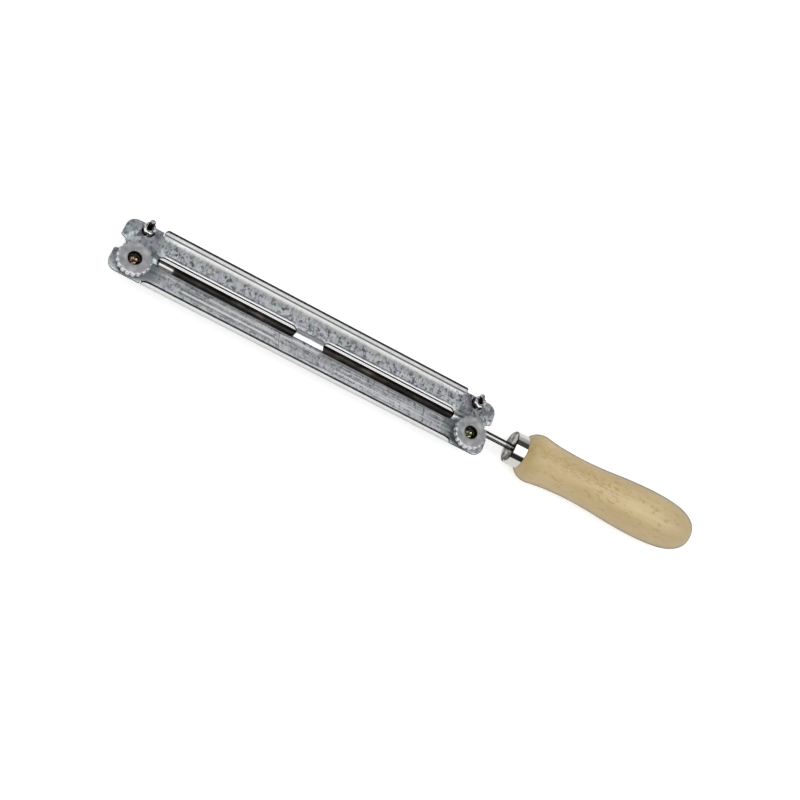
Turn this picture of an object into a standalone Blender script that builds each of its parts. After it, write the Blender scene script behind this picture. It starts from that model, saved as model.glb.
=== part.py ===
"""Chainsaw file guide: a channel-shaped steel guide plate with a round file clamped under it.

Metres, +Z up. The file runs along X, with its handle at +X. All pieces are placed in the guide's own frame,
an empty at the middle of the plate's top face, on the file's axis. The scene's origin lies under the middle
of the object's bounding box, at the height of its lowest point.
"""

import math

import bmesh
import bpy
from mathutils import Matrix, Vector

# Clearances
SEAT_GAP = 0.0003
CUT_OVERRUN = 0.004
MERGE_DISTANCE = 0.00001

# Guide plate, pressed from one sheet
SHEET = 0.0012
PLATE_LENGTH = 0.220
EAR_WIDTH = 0.0316
CHANNEL_WIDTH = 0.0320
EAR_LENGTH = 0.0196
FLANGE_HEIGHT = 0.0044
FLANGE_BEND_RADIUS = 0.0003
FLANGE_EDGE_RADIUS = 0.0006
FAR_FLANGE_CORNER = 0.0017
NEAR_FLANGE_CORNER = 0.0040
RELIEF_WIDTH = 0.0005
RELIEF_DEPTH = 0.0019
EAR_CORNER_RADIUS = 0.0055
NOTCH_RADIUS = 0.0041
NOTCH_CORNER_RADIUS = 0.0010
SLOT_WIDTH = 0.0060
SLOT_ROLL_RADIUS = 0.0010
SLOT_INSET = 0.0223
BRIDGE_LENGTH = 0.0164
BEAD_CLEARANCE = 0.00035
BEAD_FILLET = 0.0014

# Round file
FILE_DIAMETER = 0.0048
FILE_PROUD_SHARE = 0.1
FILE_TIP_INSET = 0.0045
FILE_SHOULDER_INSET = 0.0065
FILE_TIP_CHAMFER = 0.0012
TANG_DIAMETER = 0.0038
TANG_END_DIAMETER = 0.0026
TANG_SHOULDER = 0.004
TANG_VISIBLE_LENGTH = 0.0213
TANG_HELD_LENGTH = 0.0487

# Handle and ferrule
FERRULE_DIAMETER = 0.0187
FERRULE_LENGTH = 0.0077
FERRULE_WALL = 0.0009
FERRULE_RIM_RADIUS = 0.0010
HANDLE_DIAMETER = 0.0285
HANDLE_LENGTH = 0.1112
HANDLE_LEAN = math.radians(0.65)
TANG_BORE_SPARE = 0.002
# Outline of the wood from the ferrule to the butt, as shares of its length and of its largest radius
HANDLE_OUTLINE_SHARES = (
    (0.000, 0.60), (0.012, 0.74), (0.030, 0.87), (0.055, 0.95), (0.084, 0.97), (0.118, 0.93),
    (0.194, 0.867), (0.319, 0.835), (0.443, 0.874), (0.576, 0.958), (0.718, 1.000), (0.834, 0.958),
    (0.916, 0.828), (0.971, 0.575), (0.994, 0.25), (1.000, 0.0),
)

# Clamp screws with their thumb nuts, near side
CLAMP_INSET = 0.0115
CLAMP_OFFSET = 0.0076
CLAMP_SCREW_DIAMETER = 0.0050
CLAMP_HEAD_DIAMETER = 0.0075
CLAMP_HEAD_HEIGHT = 0.0025
CLAMP_NECK_HEIGHT = 0.0015
CLAMP_SCREW_RISE = 0.0043
THUMB_NUT_DIAMETER = 0.0184
THUMB_NUT_TOP = 0.0066
THUMB_NUT_RIM = 0.0030
THUMB_NUT_EDGE = 0.0004
THUMB_NUT_LOBES = 18
THUMB_NUT_LOBE_DEPTH = 0.0008
THUMB_NUT_HUB_DIAMETER = 0.0100
THUMB_NUT_RECESS_DIAMETER = 0.0072
THUMB_NUT_RECESS_DEPTH = 0.0034
THUMB_NUT_RECESS_CHAMFER = 0.0003
THUMB_WASHER_DIAMETER = 0.0115
THUMB_WASHER_HEIGHT = 0.0008
STAKE_WIDTH = 0.0009
STAKE_DEPTH = 0.0007

# Pivot screws with their nuts, far side
PIVOT_OFFSET = 0.0123
PIVOT_SCREW_DIAMETER = 0.0029
PIVOT_SCREW_RISE = 0.0115
PIVOT_SCREW_CHAMFER = 0.0004
PIVOT_HEAD_DIAMETER = 0.0058
PIVOT_HEAD_HEIGHT = 0.0025
PIVOT_NUT_ACROSS_FLATS = 0.0062
PIVOT_NUT_HEIGHT = 0.0030
PIVOT_NUT_CHAMFER = 0.00015
PIVOT_WASHER_DIAMETER = 0.0073
PIVOT_WASHER_HEIGHT = 0.0006
PIVOT_SCREW_BEND = math.radians(21)
PIVOT_SCREW_BEND_RADIUS = 0.0040

# Clamp bars, bent from strip
BAR_THICKNESS = 0.0016
BAR_WIDTH = 0.0120
BAR_DROP = 0.0032
BAR_NEAR_OVERHANG = 0.0045
BAR_FAR_OVERHANG = 0.0035
BAR_CORNER_RADIUS = 0.0030
BAR_FILLET = 0.0014

# Facets
ROUND_STEPS = 24
HANDLE_STEPS = 32
RING_POINTS = 32
LOBE_POINTS = 4
NUT_FACE_POINTS = 4
ARC_STEPS = 6
BEAD_STEPS = 4
FLANGE_STEPS = 4
BEND_STEPS = 3
ROLL_STEPS = 3
SPLINE_STEPS = 3
SMOOTH_ANGLE = math.radians(35)
NUT_CHAMFER_ANGLE = math.radians(30)
ROLL_END_ANGLE = math.radians(75)

# Places worked out from the sizes above
FILE_RADIUS = FILE_DIAMETER / 2
FILE_AXIS = -SHEET + FILE_PROUD_SHARE * FILE_DIAMETER - FILE_RADIUS
PLATE_END = PLATE_LENGTH / 2
FLANGE_END = PLATE_END - EAR_LENGTH
CLAMP_REACH = PLATE_END - CLAMP_INSET
FILE_TIP = -PLATE_END + FILE_TIP_INSET
FILE_BODY_LENGTH = PLATE_LENGTH - FILE_TIP_INSET - FILE_SHOULDER_INSET
TANG_LENGTH = TANG_VISIBLE_LENGTH + TANG_HELD_LENGTH
FERRULE_FRONT = FILE_TIP + FILE_BODY_LENGTH + TANG_VISIBLE_LENGTH
HANDLE_FRONT = FERRULE_FRONT + FERRULE_LENGTH
HANDLE_END = FERRULE_FRONT + (FERRULE_LENGTH + HANDLE_LENGTH) * math.cos(HANDLE_LEAN)
BAR_TOP = -SHEET - BAR_DROP
BAR_UNDERSIDE = BAR_TOP - BAR_THICKNESS
# Each end's label, its direction along X and how far its pivot screw is bent
ENDS = (("left", -1, 0.0), ("right", 1, PIVOT_SCREW_BEND))


def clear_scene():
    for item in list(bpy.data.objects):
        bpy.data.objects.remove(item, do_unlink=True)


def make_material(name, colour, metallic, roughness):
    material = bpy.data.materials.new(name)
    material.use_nodes = True
    shader = material.node_tree.nodes["Principled BSDF"]
    shader.inputs["Base Color"].default_value = (*colour, 1.0)
    shader.inputs["Metallic"].default_value = metallic
    shader.inputs["Roughness"].default_value = roughness
    return material


def galvanised_steel():
    return make_material("galvanised_steel", (0.50, 0.53, 0.55), 0.9, 0.45)


def bright_steel():
    return make_material("bright_steel", (0.72, 0.72, 0.73), 1.0, 0.25)


def thumb_nut_steel():
    return make_material("thumb_nut_steel", (0.55, 0.56, 0.58), 0.9, 0.4)


def yellow_zinc():
    return make_material("yellow_zinc", (0.70, 0.52, 0.25), 1.0, 0.35)


def file_steel():
    return make_material("file_steel", (0.13, 0.12, 0.11), 0.9, 0.45)


def nickel_plate():
    return make_material("nickel_plate", (0.80, 0.80, 0.80), 1.0, 0.12)


def pale_wood():
    return make_material("pale_wood", (0.60, 0.44, 0.25), 0.0, 0.5)


def make_frame():
    """The guide's own frame, an empty that every piece hangs from."""
    near_reach = max(CHANNEL_WIDTH / 2, CLAMP_OFFSET + THUMB_NUT_DIAMETER / 2)
    frame = bpy.data.objects.new("guide_frame", None)
    frame.location = (
        (PLATE_END - HANDLE_END) / 2,
        (near_reach - CHANNEL_WIDTH / 2) / 2,
        HANDLE_DIAMETER / 2 - FILE_AXIS,
    )
    bpy.context.collection.objects.link(frame)
    return frame


def add_piece(name, mesh, material, frame, location=(0, 0, 0), rotation=(0, 0, 0)):
    mesh.materials.append(material)
    piece = bpy.data.objects.new(name, mesh)
    piece.location = location
    piece.rotation_euler = rotation
    piece.parent = frame
    bpy.context.collection.objects.link(piece)
    return piece


def mesh_from(bm, name):
    bmesh.ops.recalc_face_normals(bm, faces=bm.faces)
    mesh = bpy.data.meshes.new(name)
    bm.to_mesh(mesh)
    bm.free()
    mesh.shade_smooth()
    mesh.set_sharp_from_angle(angle=SMOOTH_ANGLE)
    return mesh


def add_cutter(name, mesh, frame, location=(0, 0, 0)):
    cutter = bpy.data.objects.new(name, mesh)
    cutter.location = location
    cutter.parent = frame
    cutter.hide_render = True
    cutter.display_type = "WIRE"
    bpy.context.collection.objects.link(cutter)
    return cutter


def cut(piece, cutter):
    modifier = piece.modifiers.new("cut", "BOOLEAN")
    modifier.operation = "DIFFERENCE"
    modifier.solver = "EXACT"
    modifier.object = cutter


def turned_mesh(name, outline, looped):
    """A profile for the Screw modifier: (radius, height) points down the outer side."""
    bm = bmesh.new()
    points = [bm.verts.new((radius, 0, height)) for radius, height in outline]
    for first, second in zip(points, points[1:]):
        bm.edges.new((first, second))
    if looped:
        bm.edges.new((points[-1], points[0]))
    mesh = bpy.data.meshes.new(name)
    bm.to_mesh(mesh)
    bm.free()
    return mesh


def turn(piece, steps):
    modifier = piece.modifiers.new("turn", "SCREW")
    modifier.angle = 2 * math.pi
    modifier.steps = steps
    modifier.render_steps = steps
    modifier.use_merge_vertices = True
    modifier.merge_threshold = MERGE_DISTANCE
    modifier.use_smooth_shade = True


def add_turned(name, outline, material, frame, location, steps=ROUND_STEPS, looped=False, rotation=(0, 0, 0)):
    piece = add_piece(name, turned_mesh(name, outline, looped), material, frame, location, rotation)
    turn(piece, steps)
    return piece


def along_x(lean=0.0):
    """Turns a piece made about Z so that its top points to +X, or to one side of it by the lean."""
    return (0, math.pi / 2, lean)


def arc(centre_a, centre_b, radius, start, end, steps):
    """Points of an arc in a plane, from the angle start to the angle end."""
    points = []
    for step in range(steps + 1):
        angle = start + (end - start) * step / steps
        points.append((centre_a + radius * math.cos(angle), centre_b + radius * math.sin(angle)))
    return points


def add_rings(bm, rings, looped):
    """Adds a skin over rings of equal point count, each a list of (x, y, z), closed at its ends or on itself."""
    loops = [[bm.verts.new(point) for point in points] for points in rings]
    count = len(loops[0])
    pairs = list(zip(loops, loops[1:]))
    if looped:
        pairs.append((loops[-1], loops[0]))
    else:
        bm.faces.new(loops[0])
        bm.faces.new(loops[-1])
    for upper, lower in pairs:
        for index in range(count):
            after = (index + 1) % count
            bm.faces.new((upper[index], upper[after], lower[after], lower[index]))


def ring_mesh(name, rings, looped):
    bm = bmesh.new()
    add_rings(bm, rings, looped)
    return mesh_from(bm, name)


def ring(radius, height, count):
    """A ring of points; radius and height are numbers or functions of the angle."""
    points = []
    for index in range(count):
        angle = 2 * math.pi * index / count
        reach = radius(angle) if callable(radius) else radius
        level = height(angle) if callable(height) else height
        points.append((reach * math.cos(angle), reach * math.sin(angle), level))
    return points


def polygon_radius(half_width, sides, turn_angle=0.0):
    """Radius of a regular polygon, given half its width across flats, as a function of the angle."""
    sector = 2 * math.pi / sides

    def reach(angle):
        offset = (angle - turn_angle + sector / 2) % sector - sector / 2
        return half_width / math.cos(offset)

    return reach


def add_prism(bm, outline, low, high):
    """Adds an upright prism over an outline of (x, y) points."""
    base = bm.faces.new([bm.verts.new((x, y, low)) for x, y in outline])
    grown = bmesh.ops.extrude_face_region(bm, geom=[base])
    lifted = [item for item in grown["geom"] if isinstance(item, bmesh.types.BMVert)]
    bmesh.ops.translate(bm, verts=lifted, vec=(0, 0, high - low))


def circle_outline(x, y, radius):
    return arc(x, y, radius, 0, 2 * math.pi, ROUND_STEPS)[:-1]


def square_outline(x, y, half_side):
    return [
        (x - half_side, y - half_side),
        (x + half_side, y - half_side),
        (x + half_side, y + half_side),
        (x - half_side, y + half_side),
    ]


def slot_outline(start, end, half_width):
    """A slot along X with round ends."""
    right = arc(end - half_width, 0, half_width, -math.pi / 2, math.pi / 2, 2 * ARC_STEPS)
    left = arc(start + half_width, 0, half_width, math.pi / 2, 3 * math.pi / 2, 2 * ARC_STEPS)
    return right + left


def notch_outline(x, radius, corner, side):
    """A half-round notch in an end of the plate, with its mouth's corners rounded."""
    corner_x = x - side * corner
    corner_y = math.sqrt((radius + corner) ** 2 - corner ** 2)
    meet = math.atan2(corner_y, corner)
    upper = [
        (corner_x + side * a, corner_y - b)
        for a, b in arc(0, 0, corner, 0, meet, ARC_STEPS)
    ]
    bottom = [
        (x - side * a, b)
        for a, b in arc(0, 0, radius, meet, -meet, 2 * ARC_STEPS)
    ]
    lower = [(a, -b) for a, b in reversed(upper)]
    outside_x = x + side * CUT_OVERRUN
    return [(outside_x, corner_y)] + upper + bottom[1:-1] + lower + [(outside_x, -corner_y)]


def corner_outline(x, y, radius, side_x, side_y):
    """What is cut away outside a rounded corner at (x, y)."""
    centre_x = x - side_x * radius
    centre_y = y - side_y * radius
    round_edge = [
        (centre_x + side_x * a, centre_y + side_y * b)
        for a, b in arc(0, 0, radius, 0, math.pi / 2, ARC_STEPS)
    ]
    outside_x = x + side_x * CUT_OVERRUN
    outside_y = y + side_y * CUT_OVERRUN
    return round_edge + [(centre_x, outside_y), (outside_x, outside_y), (outside_x, centre_y)]


def bead_half(axis_offset, radius, fillet):
    """Half of a round bead in a sheet's middle line, from its crest outwards: (y, rise, lean).

    axis_offset is the distance from the flat middle line to the bead's axis, on the side away from its crest.
    lean is the angle of the sheet's outward normal from the crest's direction.
    """
    lean_end = math.acos((axis_offset + fillet) / (radius + fillet))
    foot = (radius + fillet) * math.sin(lean_end)
    points = []
    for step in range(BEAD_STEPS + 1):
        lean = lean_end * step / BEAD_STEPS
        points.append((radius * math.sin(lean), radius * math.cos(lean) - axis_offset, lean))
    for step in range(1, BEAD_STEPS + 1):
        lean = lean_end * (1 - step / BEAD_STEPS)
        points.append((foot - fillet * math.sin(lean), fillet - fillet * math.cos(lean), lean))
    return points


def plate_core_half():
    """Half of the plate's middle line, from the bead's crest to the relief slits: (y, z, lean)."""
    middle = -SHEET / 2
    crest_radius = FILE_RADIUS + BEAD_CLEARANCE + SHEET / 2
    points = [(y, middle + rise, lean)
              for y, rise, lean in bead_half(middle - FILE_AXIS, crest_radius, BEAD_FILLET)]
    points.append((EAR_WIDTH / 2 - RELIEF_DEPTH, middle, 0))
    return points


def flange_sides(side):
    """The square bend and the upright flange beyond the core: pairs of inner and outer points, as (y, z)."""
    quarter = (-math.pi / 2, 0, BEND_STEPS)
    wall = CHANNEL_WIDTH / 2
    inner = arc(wall - SHEET - FLANGE_BEND_RADIUS, FLANGE_BEND_RADIUS, FLANGE_BEND_RADIUS, *quarter)
    outer = arc(wall - FLANGE_EDGE_RADIUS, FLANGE_EDGE_RADIUS - SHEET, FLANGE_EDGE_RADIUS, *quarter)
    for step in range(1, FLANGE_STEPS + 1):
        height = FLANGE_BEND_RADIUS + (FLANGE_HEIGHT - FLANGE_BEND_RADIUS) * step / FLANGE_STEPS
        inner.append((wall - SHEET, height))
        outer.append((wall, height))
    return [((side * a, b), (side * c, d)) for (a, b), (c, d) in zip(inner, outer)]


def sheet_sides(point, side, thickness):
    """The upper and lower surface points over one point of a sheet's middle line, as (y, z)."""
    y, z, lean = point
    offset_y = math.sin(lean) * thickness / 2
    offset_z = math.cos(lean) * thickness / 2
    return (side * (y + offset_y), z + offset_z), (side * (y - offset_y), z - offset_z)


def flange_end(z, corner):
    """How far along X a flange reaches at the height z, with its upper corner rounded off."""
    share = min(max(z / FLANGE_HEIGHT, 0.0), 1.0)
    return FLANGE_END - corner * (1 - math.sqrt(1 - share * share))


def add_strip(bm, stations, cap_start, cap_end):
    """Adds a strip of sheet. Each station is a pair of rows, upper and lower, of vertices along the section."""
    for (upper_a, lower_a), (upper_b, lower_b) in zip(stations, stations[1:]):
        for index in range(len(upper_a) - 1):
            bm.faces.new((upper_a[index], upper_a[index + 1], upper_b[index + 1], upper_b[index]))
            bm.faces.new((lower_a[index], lower_b[index], lower_b[index + 1], lower_a[index + 1]))
    for wanted, (upper, lower) in ((cap_start, stations[0]), (cap_end, stations[-1])):
        if wanted:
            for index in range(len(upper) - 1):
                bm.faces.new((upper[index], upper[index + 1], lower[index + 1], lower[index]))


def add_edge_wall(bm, stations, index):
    """Closes a strip along its first or last row."""
    for (upper_a, lower_a), (upper_b, lower_b) in zip(stations, stations[1:]):
        bm.faces.new((upper_a[index], upper_b[index], lower_b[index], lower_a[index]))


def section_row(bm, sides, x_at):
    """Vertices over one cross-section: x_at gives the place along X at a height."""
    upper = [bm.verts.new((x_at(top[1]), *top)) for top, _ in sides]
    lower = [bm.verts.new((x_at(bottom[1]), *bottom)) for _, bottom in sides]
    return upper, lower


def plate_blank():
    """The bent sheet before its holes are cut: core, two flanges and four ears, one closed body."""
    bm = bmesh.new()
    half = plate_core_half()
    core = [sheet_sides(point, -1, SHEET) for point in reversed(half)]
    core += [sheet_sides(point, 1, SHEET) for point in half[1:]]
    ear_x = FLANGE_END + RELIEF_WIDTH
    places = (-PLATE_END, -ear_x, -FLANGE_END, FLANGE_END, ear_x, PLATE_END)
    stations = [section_row(bm, core, lambda z, x=x: x) for x in places]
    add_strip(bm, stations, True, True)
    for side, index, corner in ((-1, 0, NEAR_FLANGE_CORNER), (1, -1, FAR_FLANGE_CORNER)):
        flange = flange_sides(side)
        rows = []
        for end, station in ((-1, stations[2]), (1, stations[3])):
            upper, lower = section_row(bm, flange, lambda z, e=end, c=corner: e * flange_end(z, c))
            rows.append(([station[0][index]] + upper, [station[1][index]] + lower))
        add_strip(bm, rows, True, True)
        add_edge_wall(bm, rows, -1)
        ear = [((side * EAR_WIDTH / 2, 0.0), (side * EAR_WIDTH / 2, -SHEET))]
        for first, last in ((0, 1), (4, 5)):
            rows = []
            for place in (first, last):
                upper, lower = section_row(bm, ear, lambda z, x=places[place]: x)
                rows.append(([stations[place][0][index]] + upper, [stations[place][1][index]] + lower))
            add_strip(bm, rows, True, True)
            add_edge_wall(bm, rows, -1)
        add_edge_wall(bm, stations[1:3], index)
        add_edge_wall(bm, stations[3:5], index)
    return mesh_from(bm, "guide_plate")


def add_slot_cutter(bm, start, end):
    """A slot whose long upper edges are rolled over: the cutter flares there, then rises clear of the bead."""
    half_width = SLOT_WIDTH / 2
    levels = [(0, -SHEET - CUT_OVERRUN)]
    for step in range(ROLL_STEPS + 1):
        angle = ROLL_END_ANGLE * step / ROLL_STEPS
        levels.append((SLOT_ROLL_RADIUS * (1 - math.cos(angle)), SLOT_ROLL_RADIUS * (math.sin(angle) - 1)))
    spread, height = levels[-1]
    widest = spread + SHEET * math.sin(ROLL_END_ANGLE)
    levels += [(widest, height + SHEET * math.cos(ROLL_END_ANGLE)), (widest, CUT_OVERRUN)]
    rings = []
    for spread, height in levels:
        rings.append([(x, y, height) for x, y in slot_outline(start, end, half_width + spread)])
    add_rings(bm, rings, False)


def plate_cutters():
    """Everything cut out of the plate: slots, end notches, screw holes and the ears' corners."""
    bm = bmesh.new()
    low = -SHEET - CUT_OVERRUN
    high = CUT_OVERRUN
    outlines = []
    for _, end, _ in ENDS:
        near_end, far_end = sorted((end * BRIDGE_LENGTH / 2, end * (PLATE_END - SLOT_INSET)))
        add_slot_cutter(bm, near_end, far_end)
        outlines.append(notch_outline(end * PLATE_END, NOTCH_RADIUS, NOTCH_CORNER_RADIUS, end))
        screw_x = end * CLAMP_REACH
        outlines.append(circle_outline(screw_x, -CLAMP_OFFSET, CLAMP_SCREW_DIAMETER / 2 + SEAT_GAP))
        outlines.append(circle_outline(screw_x, PIVOT_OFFSET, PIVOT_SCREW_DIAMETER / 2 + SEAT_GAP))
        for side in (-1, 1):
            outlines.append(corner_outline(end * PLATE_END, side * EAR_WIDTH / 2, EAR_CORNER_RADIUS, end, side))
    for outline in outlines:
        add_prism(bm, outline, low, high)
    return mesh_from(bm, "plate_cutters")


def add_guide_plate(frame, material):
    plate = add_piece("guide_plate", plate_blank(), material, frame)
    cut(plate, add_cutter("plate_cutters", plate_cutters(), frame))


def bar_blank(name):
    """A strip across the file with a trough for it, bent down under the plate."""
    middle = BAR_TOP - BAR_THICKNESS / 2
    trough_radius = FILE_RADIUS + SEAT_GAP + BAR_THICKNESS / 2
    trough = [(y, middle - rise, -lean)
              for y, rise, lean in bead_half(FILE_AXIS - middle, trough_radius, BAR_FILLET)]
    near = (CLAMP_OFFSET + BAR_NEAR_OVERHANG, middle, 0)
    far = (PIVOT_OFFSET + BAR_FAR_OVERHANG, middle, 0)
    section = [sheet_sides(point, -1, BAR_THICKNESS) for point in reversed(trough + [near])]
    section += [sheet_sides(point, 1, BAR_THICKNESS) for point in trough[1:] + [far]]
    bm = bmesh.new()
    stations = [section_row(bm, section, lambda z, x=x: x) for x in (-BAR_WIDTH / 2, BAR_WIDTH / 2)]
    add_strip(bm, stations, True, True)
    add_edge_wall(bm, stations, 0)
    add_edge_wall(bm, stations, -1)
    return mesh_from(bm, name)


def bar_cutters(name):
    bm = bmesh.new()
    low = BAR_UNDERSIDE - CUT_OVERRUN
    high = BAR_TOP + CUT_OVERRUN
    half_width = BAR_WIDTH / 2
    near_y = -(CLAMP_OFFSET + BAR_NEAR_OVERHANG)
    far_y = PIVOT_OFFSET + BAR_FAR_OVERHANG
    outlines = [
        square_outline(0, -CLAMP_OFFSET, CLAMP_SCREW_DIAMETER / 2 + SEAT_GAP),
        circle_outline(0, PIVOT_OFFSET, PIVOT_SCREW_DIAMETER / 2 + SEAT_GAP),
    ]
    for end in (-1, 1):
        outlines.append(corner_outline(end * half_width, near_y, BAR_CORNER_RADIUS, end, -1))
        outlines.append(corner_outline(end * half_width, far_y, BAR_CORNER_RADIUS, end, 1))
    for outline in outlines:
        add_prism(bm, outline, low, high)
    return mesh_from(bm, name)


def add_clamp_bar(frame, material, label, end):
    """A clamp bar hangs from an empty on its pivot's axis."""
    pivot = bpy.data.objects.new("clamp_pivot_" + label, None)
    pivot.location = (end * CLAMP_REACH, PIVOT_OFFSET, BAR_UNDERSIDE)
    pivot.parent = frame
    bpy.context.collection.objects.link(pivot)
    offset = (0, -PIVOT_OFFSET, -BAR_UNDERSIDE)
    bar = add_piece("clamp_bar_" + label, bar_blank("clamp_bar_" + label), material, pivot, offset)
    cut(bar, add_cutter("bar_cutters_" + label, bar_cutters("bar_cutters_" + label), pivot, offset))


def head_rings(radius, height, top, count):
    """A screw's head below its flat upper face, rounded down to a small flat."""
    rings = [ring(radius, top, count)]
    for step in range(1, BEAD_STEPS):
        angle = math.pi / 2 * step / BEAD_STEPS
        drop = height if step == BEAD_STEPS - 1 else height * math.sin(angle)
        rings.append(ring(radius * math.cos(angle), top - drop, count))
    return rings


def add_clamp_screw(frame, material, label, end):
    """A domed head and a square neck under the bar, and a shank up into the thumb nut."""
    head_top = BAR_UNDERSIDE - SEAT_GAP
    shank_radius = CLAMP_SCREW_DIAMETER / 2
    neck_top = head_top + CLAMP_NECK_HEIGHT
    neck = polygon_radius(shank_radius, 4)
    tip_radius = shank_radius - STAKE_DEPTH
    rings = [
        ring(tip_radius, CLAMP_SCREW_RISE, RING_POINTS),
        ring(shank_radius, CLAMP_SCREW_RISE - STAKE_DEPTH, RING_POINTS),
        ring(shank_radius, neck_top, RING_POINTS),
        ring(neck, neck_top, RING_POINTS),
        ring(neck, head_top, RING_POINTS),
    ]
    rings += head_rings(CLAMP_HEAD_DIAMETER / 2, CLAMP_HEAD_HEIGHT, head_top, RING_POINTS)
    name = "clamp_screw_" + label
    location = (end * CLAMP_REACH, -CLAMP_OFFSET, 0)
    screw = add_piece(name, ring_mesh(name, rings, False), material, frame, location)
    cut(screw, add_cutter("stake_" + label, stake_cutter("stake_" + label), frame, location))


def stake_cutter(name):
    """A cross pressed into the screw's end, which keeps the thumb nut on."""
    bm = bmesh.new()
    reach = CLAMP_SCREW_DIAMETER
    half = STAKE_WIDTH / 2
    cross = []
    for quarter in range(4):
        turn_angle = quarter * math.pi / 2
        for a, b in ((half, half), (reach, half), (reach, -half)):
            cross.append((a * math.cos(turn_angle) + b * math.sin(turn_angle),
                          a * math.sin(turn_angle) - b * math.cos(turn_angle)))
    add_prism(bm, cross, CLAMP_SCREW_RISE - STAKE_DEPTH / 2, CLAMP_SCREW_RISE + CUT_OVERRUN)
    return mesh_from(bm, name)


def lobed_radius(radius):
    """Rounded lobes with a sharp valley between each two; one lobe points to -Y."""

    def reach(angle):
        wave = abs(math.cos(THUMB_NUT_LOBES / 2 * (angle + math.pi / 2)))
        return radius - THUMB_NUT_LOBE_DEPTH * (1 - wave)

    return reach


def add_thumb_nut(frame, material, label, end):
    """A lobed disc with a hub below and a recess above round the screw's end."""
    count = THUMB_NUT_LOBES * LOBE_POINTS
    radius = THUMB_NUT_DIAMETER / 2
    hub = THUMB_NUT_HUB_DIAMETER / 2
    hub_bottom = 2 * SEAT_GAP + THUMB_WASHER_HEIGHT
    rim_bottom = THUMB_NUT_TOP - THUMB_NUT_RIM
    floor = THUMB_NUT_TOP - THUMB_NUT_RECESS_DEPTH
    bore = CLAMP_SCREW_DIAMETER / 2 + SEAT_GAP
    recess = THUMB_NUT_RECESS_DIAMETER / 2
    rings = [
        ring(lobed_radius(radius - THUMB_NUT_EDGE), THUMB_NUT_TOP, count),
        ring(lobed_radius(radius), THUMB_NUT_TOP - THUMB_NUT_EDGE, count),
        ring(lobed_radius(radius), rim_bottom + THUMB_NUT_EDGE, count),
        ring(lobed_radius(radius - THUMB_NUT_EDGE), rim_bottom, count),
        ring(hub, rim_bottom, count),
        ring(hub, hub_bottom, count),
        ring(bore, hub_bottom, count),
        ring(bore, floor, count),
        ring(recess, floor, count),
        ring(recess, THUMB_NUT_TOP - THUMB_NUT_RECESS_CHAMFER, count),
        ring(recess + THUMB_NUT_RECESS_CHAMFER, THUMB_NUT_TOP, count),
    ]
    name = "thumb_nut_" + label
    add_piece(name, ring_mesh(name, rings, True), material, frame, (end * CLAMP_REACH, -CLAMP_OFFSET, 0))


def washer_outline(outer, inner, low, high):
    return [(outer, high), (outer, low), (inner, low), (inner, high)]


def add_thumb_washer(frame, material, label, end):
    outline = washer_outline(THUMB_WASHER_DIAMETER / 2, CLAMP_SCREW_DIAMETER / 2 + SEAT_GAP,
                             SEAT_GAP, SEAT_GAP + THUMB_WASHER_HEIGHT)
    add_turned("thumb_washer_" + label, outline, material, frame,
               (end * CLAMP_REACH, -CLAMP_OFFSET, 0), looped=True)


def add_pivot_washer(frame, material, label, end):
    outline = washer_outline(PIVOT_WASHER_DIAMETER / 2, PIVOT_SCREW_DIAMETER / 2 + SEAT_GAP,
                             SEAT_GAP, SEAT_GAP + PIVOT_WASHER_HEIGHT)
    add_turned("pivot_washer_" + label, outline, material, frame,
               (end * CLAMP_REACH, PIVOT_OFFSET, 0), looped=True)


def add_pivot_nut(frame, material, label, end):
    """A hexagon nut with its corners chamfered on both faces."""
    half_width = PIVOT_NUT_ACROSS_FLATS / 2
    low = 2 * SEAT_GAP + PIVOT_WASHER_HEIGHT
    high = low + PIVOT_NUT_HEIGHT
    bore = PIVOT_SCREW_DIAMETER / 2 + SEAT_GAP
    count = 6 * NUT_FACE_POINTS
    flat_to_near = math.pi / 2
    corner_to_near = math.pi / 2 + math.pi / 6
    hexagon = polygon_radius(half_width, 6, flat_to_near if end < 0 else corner_to_near)
    slope = math.tan(NUT_CHAMFER_ANGLE)
    rings = [
        ring(half_width, high, count),
        ring(hexagon, lambda angle: high - (hexagon(angle) - half_width + PIVOT_NUT_CHAMFER) * slope, count),
        ring(hexagon, lambda angle: low + (hexagon(angle) - half_width + PIVOT_NUT_CHAMFER) * slope, count),
        ring(half_width, low, count),
        ring(bore, low, count),
        ring(bore, high, count),
    ]
    name = "pivot_nut_" + label
    add_piece(name, ring_mesh(name, rings, True), material, frame, (end * CLAMP_REACH, PIVOT_OFFSET, 0))


def bent_ring(radius, height, bend_start, bend):
    """A ring round a shank that bends towards -X; height is measured along the shank."""
    past = max(height - bend_start, 0.0)
    angle = min(past / PIVOT_SCREW_BEND_RADIUS, bend)
    straight = past - angle * PIVOT_SCREW_BEND_RADIUS
    centre = Vector((
        -PIVOT_SCREW_BEND_RADIUS * (1 - math.cos(angle)) - straight * math.sin(angle),
        0,
        min(height, bend_start) + PIVOT_SCREW_BEND_RADIUS * math.sin(angle) + straight * math.cos(angle),
    ))
    turn_back = Matrix.Rotation(-angle, 3, "Y")
    return [tuple(centre + turn_back @ Vector(point)) for point in ring(radius, 0, ROUND_STEPS)]


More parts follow.
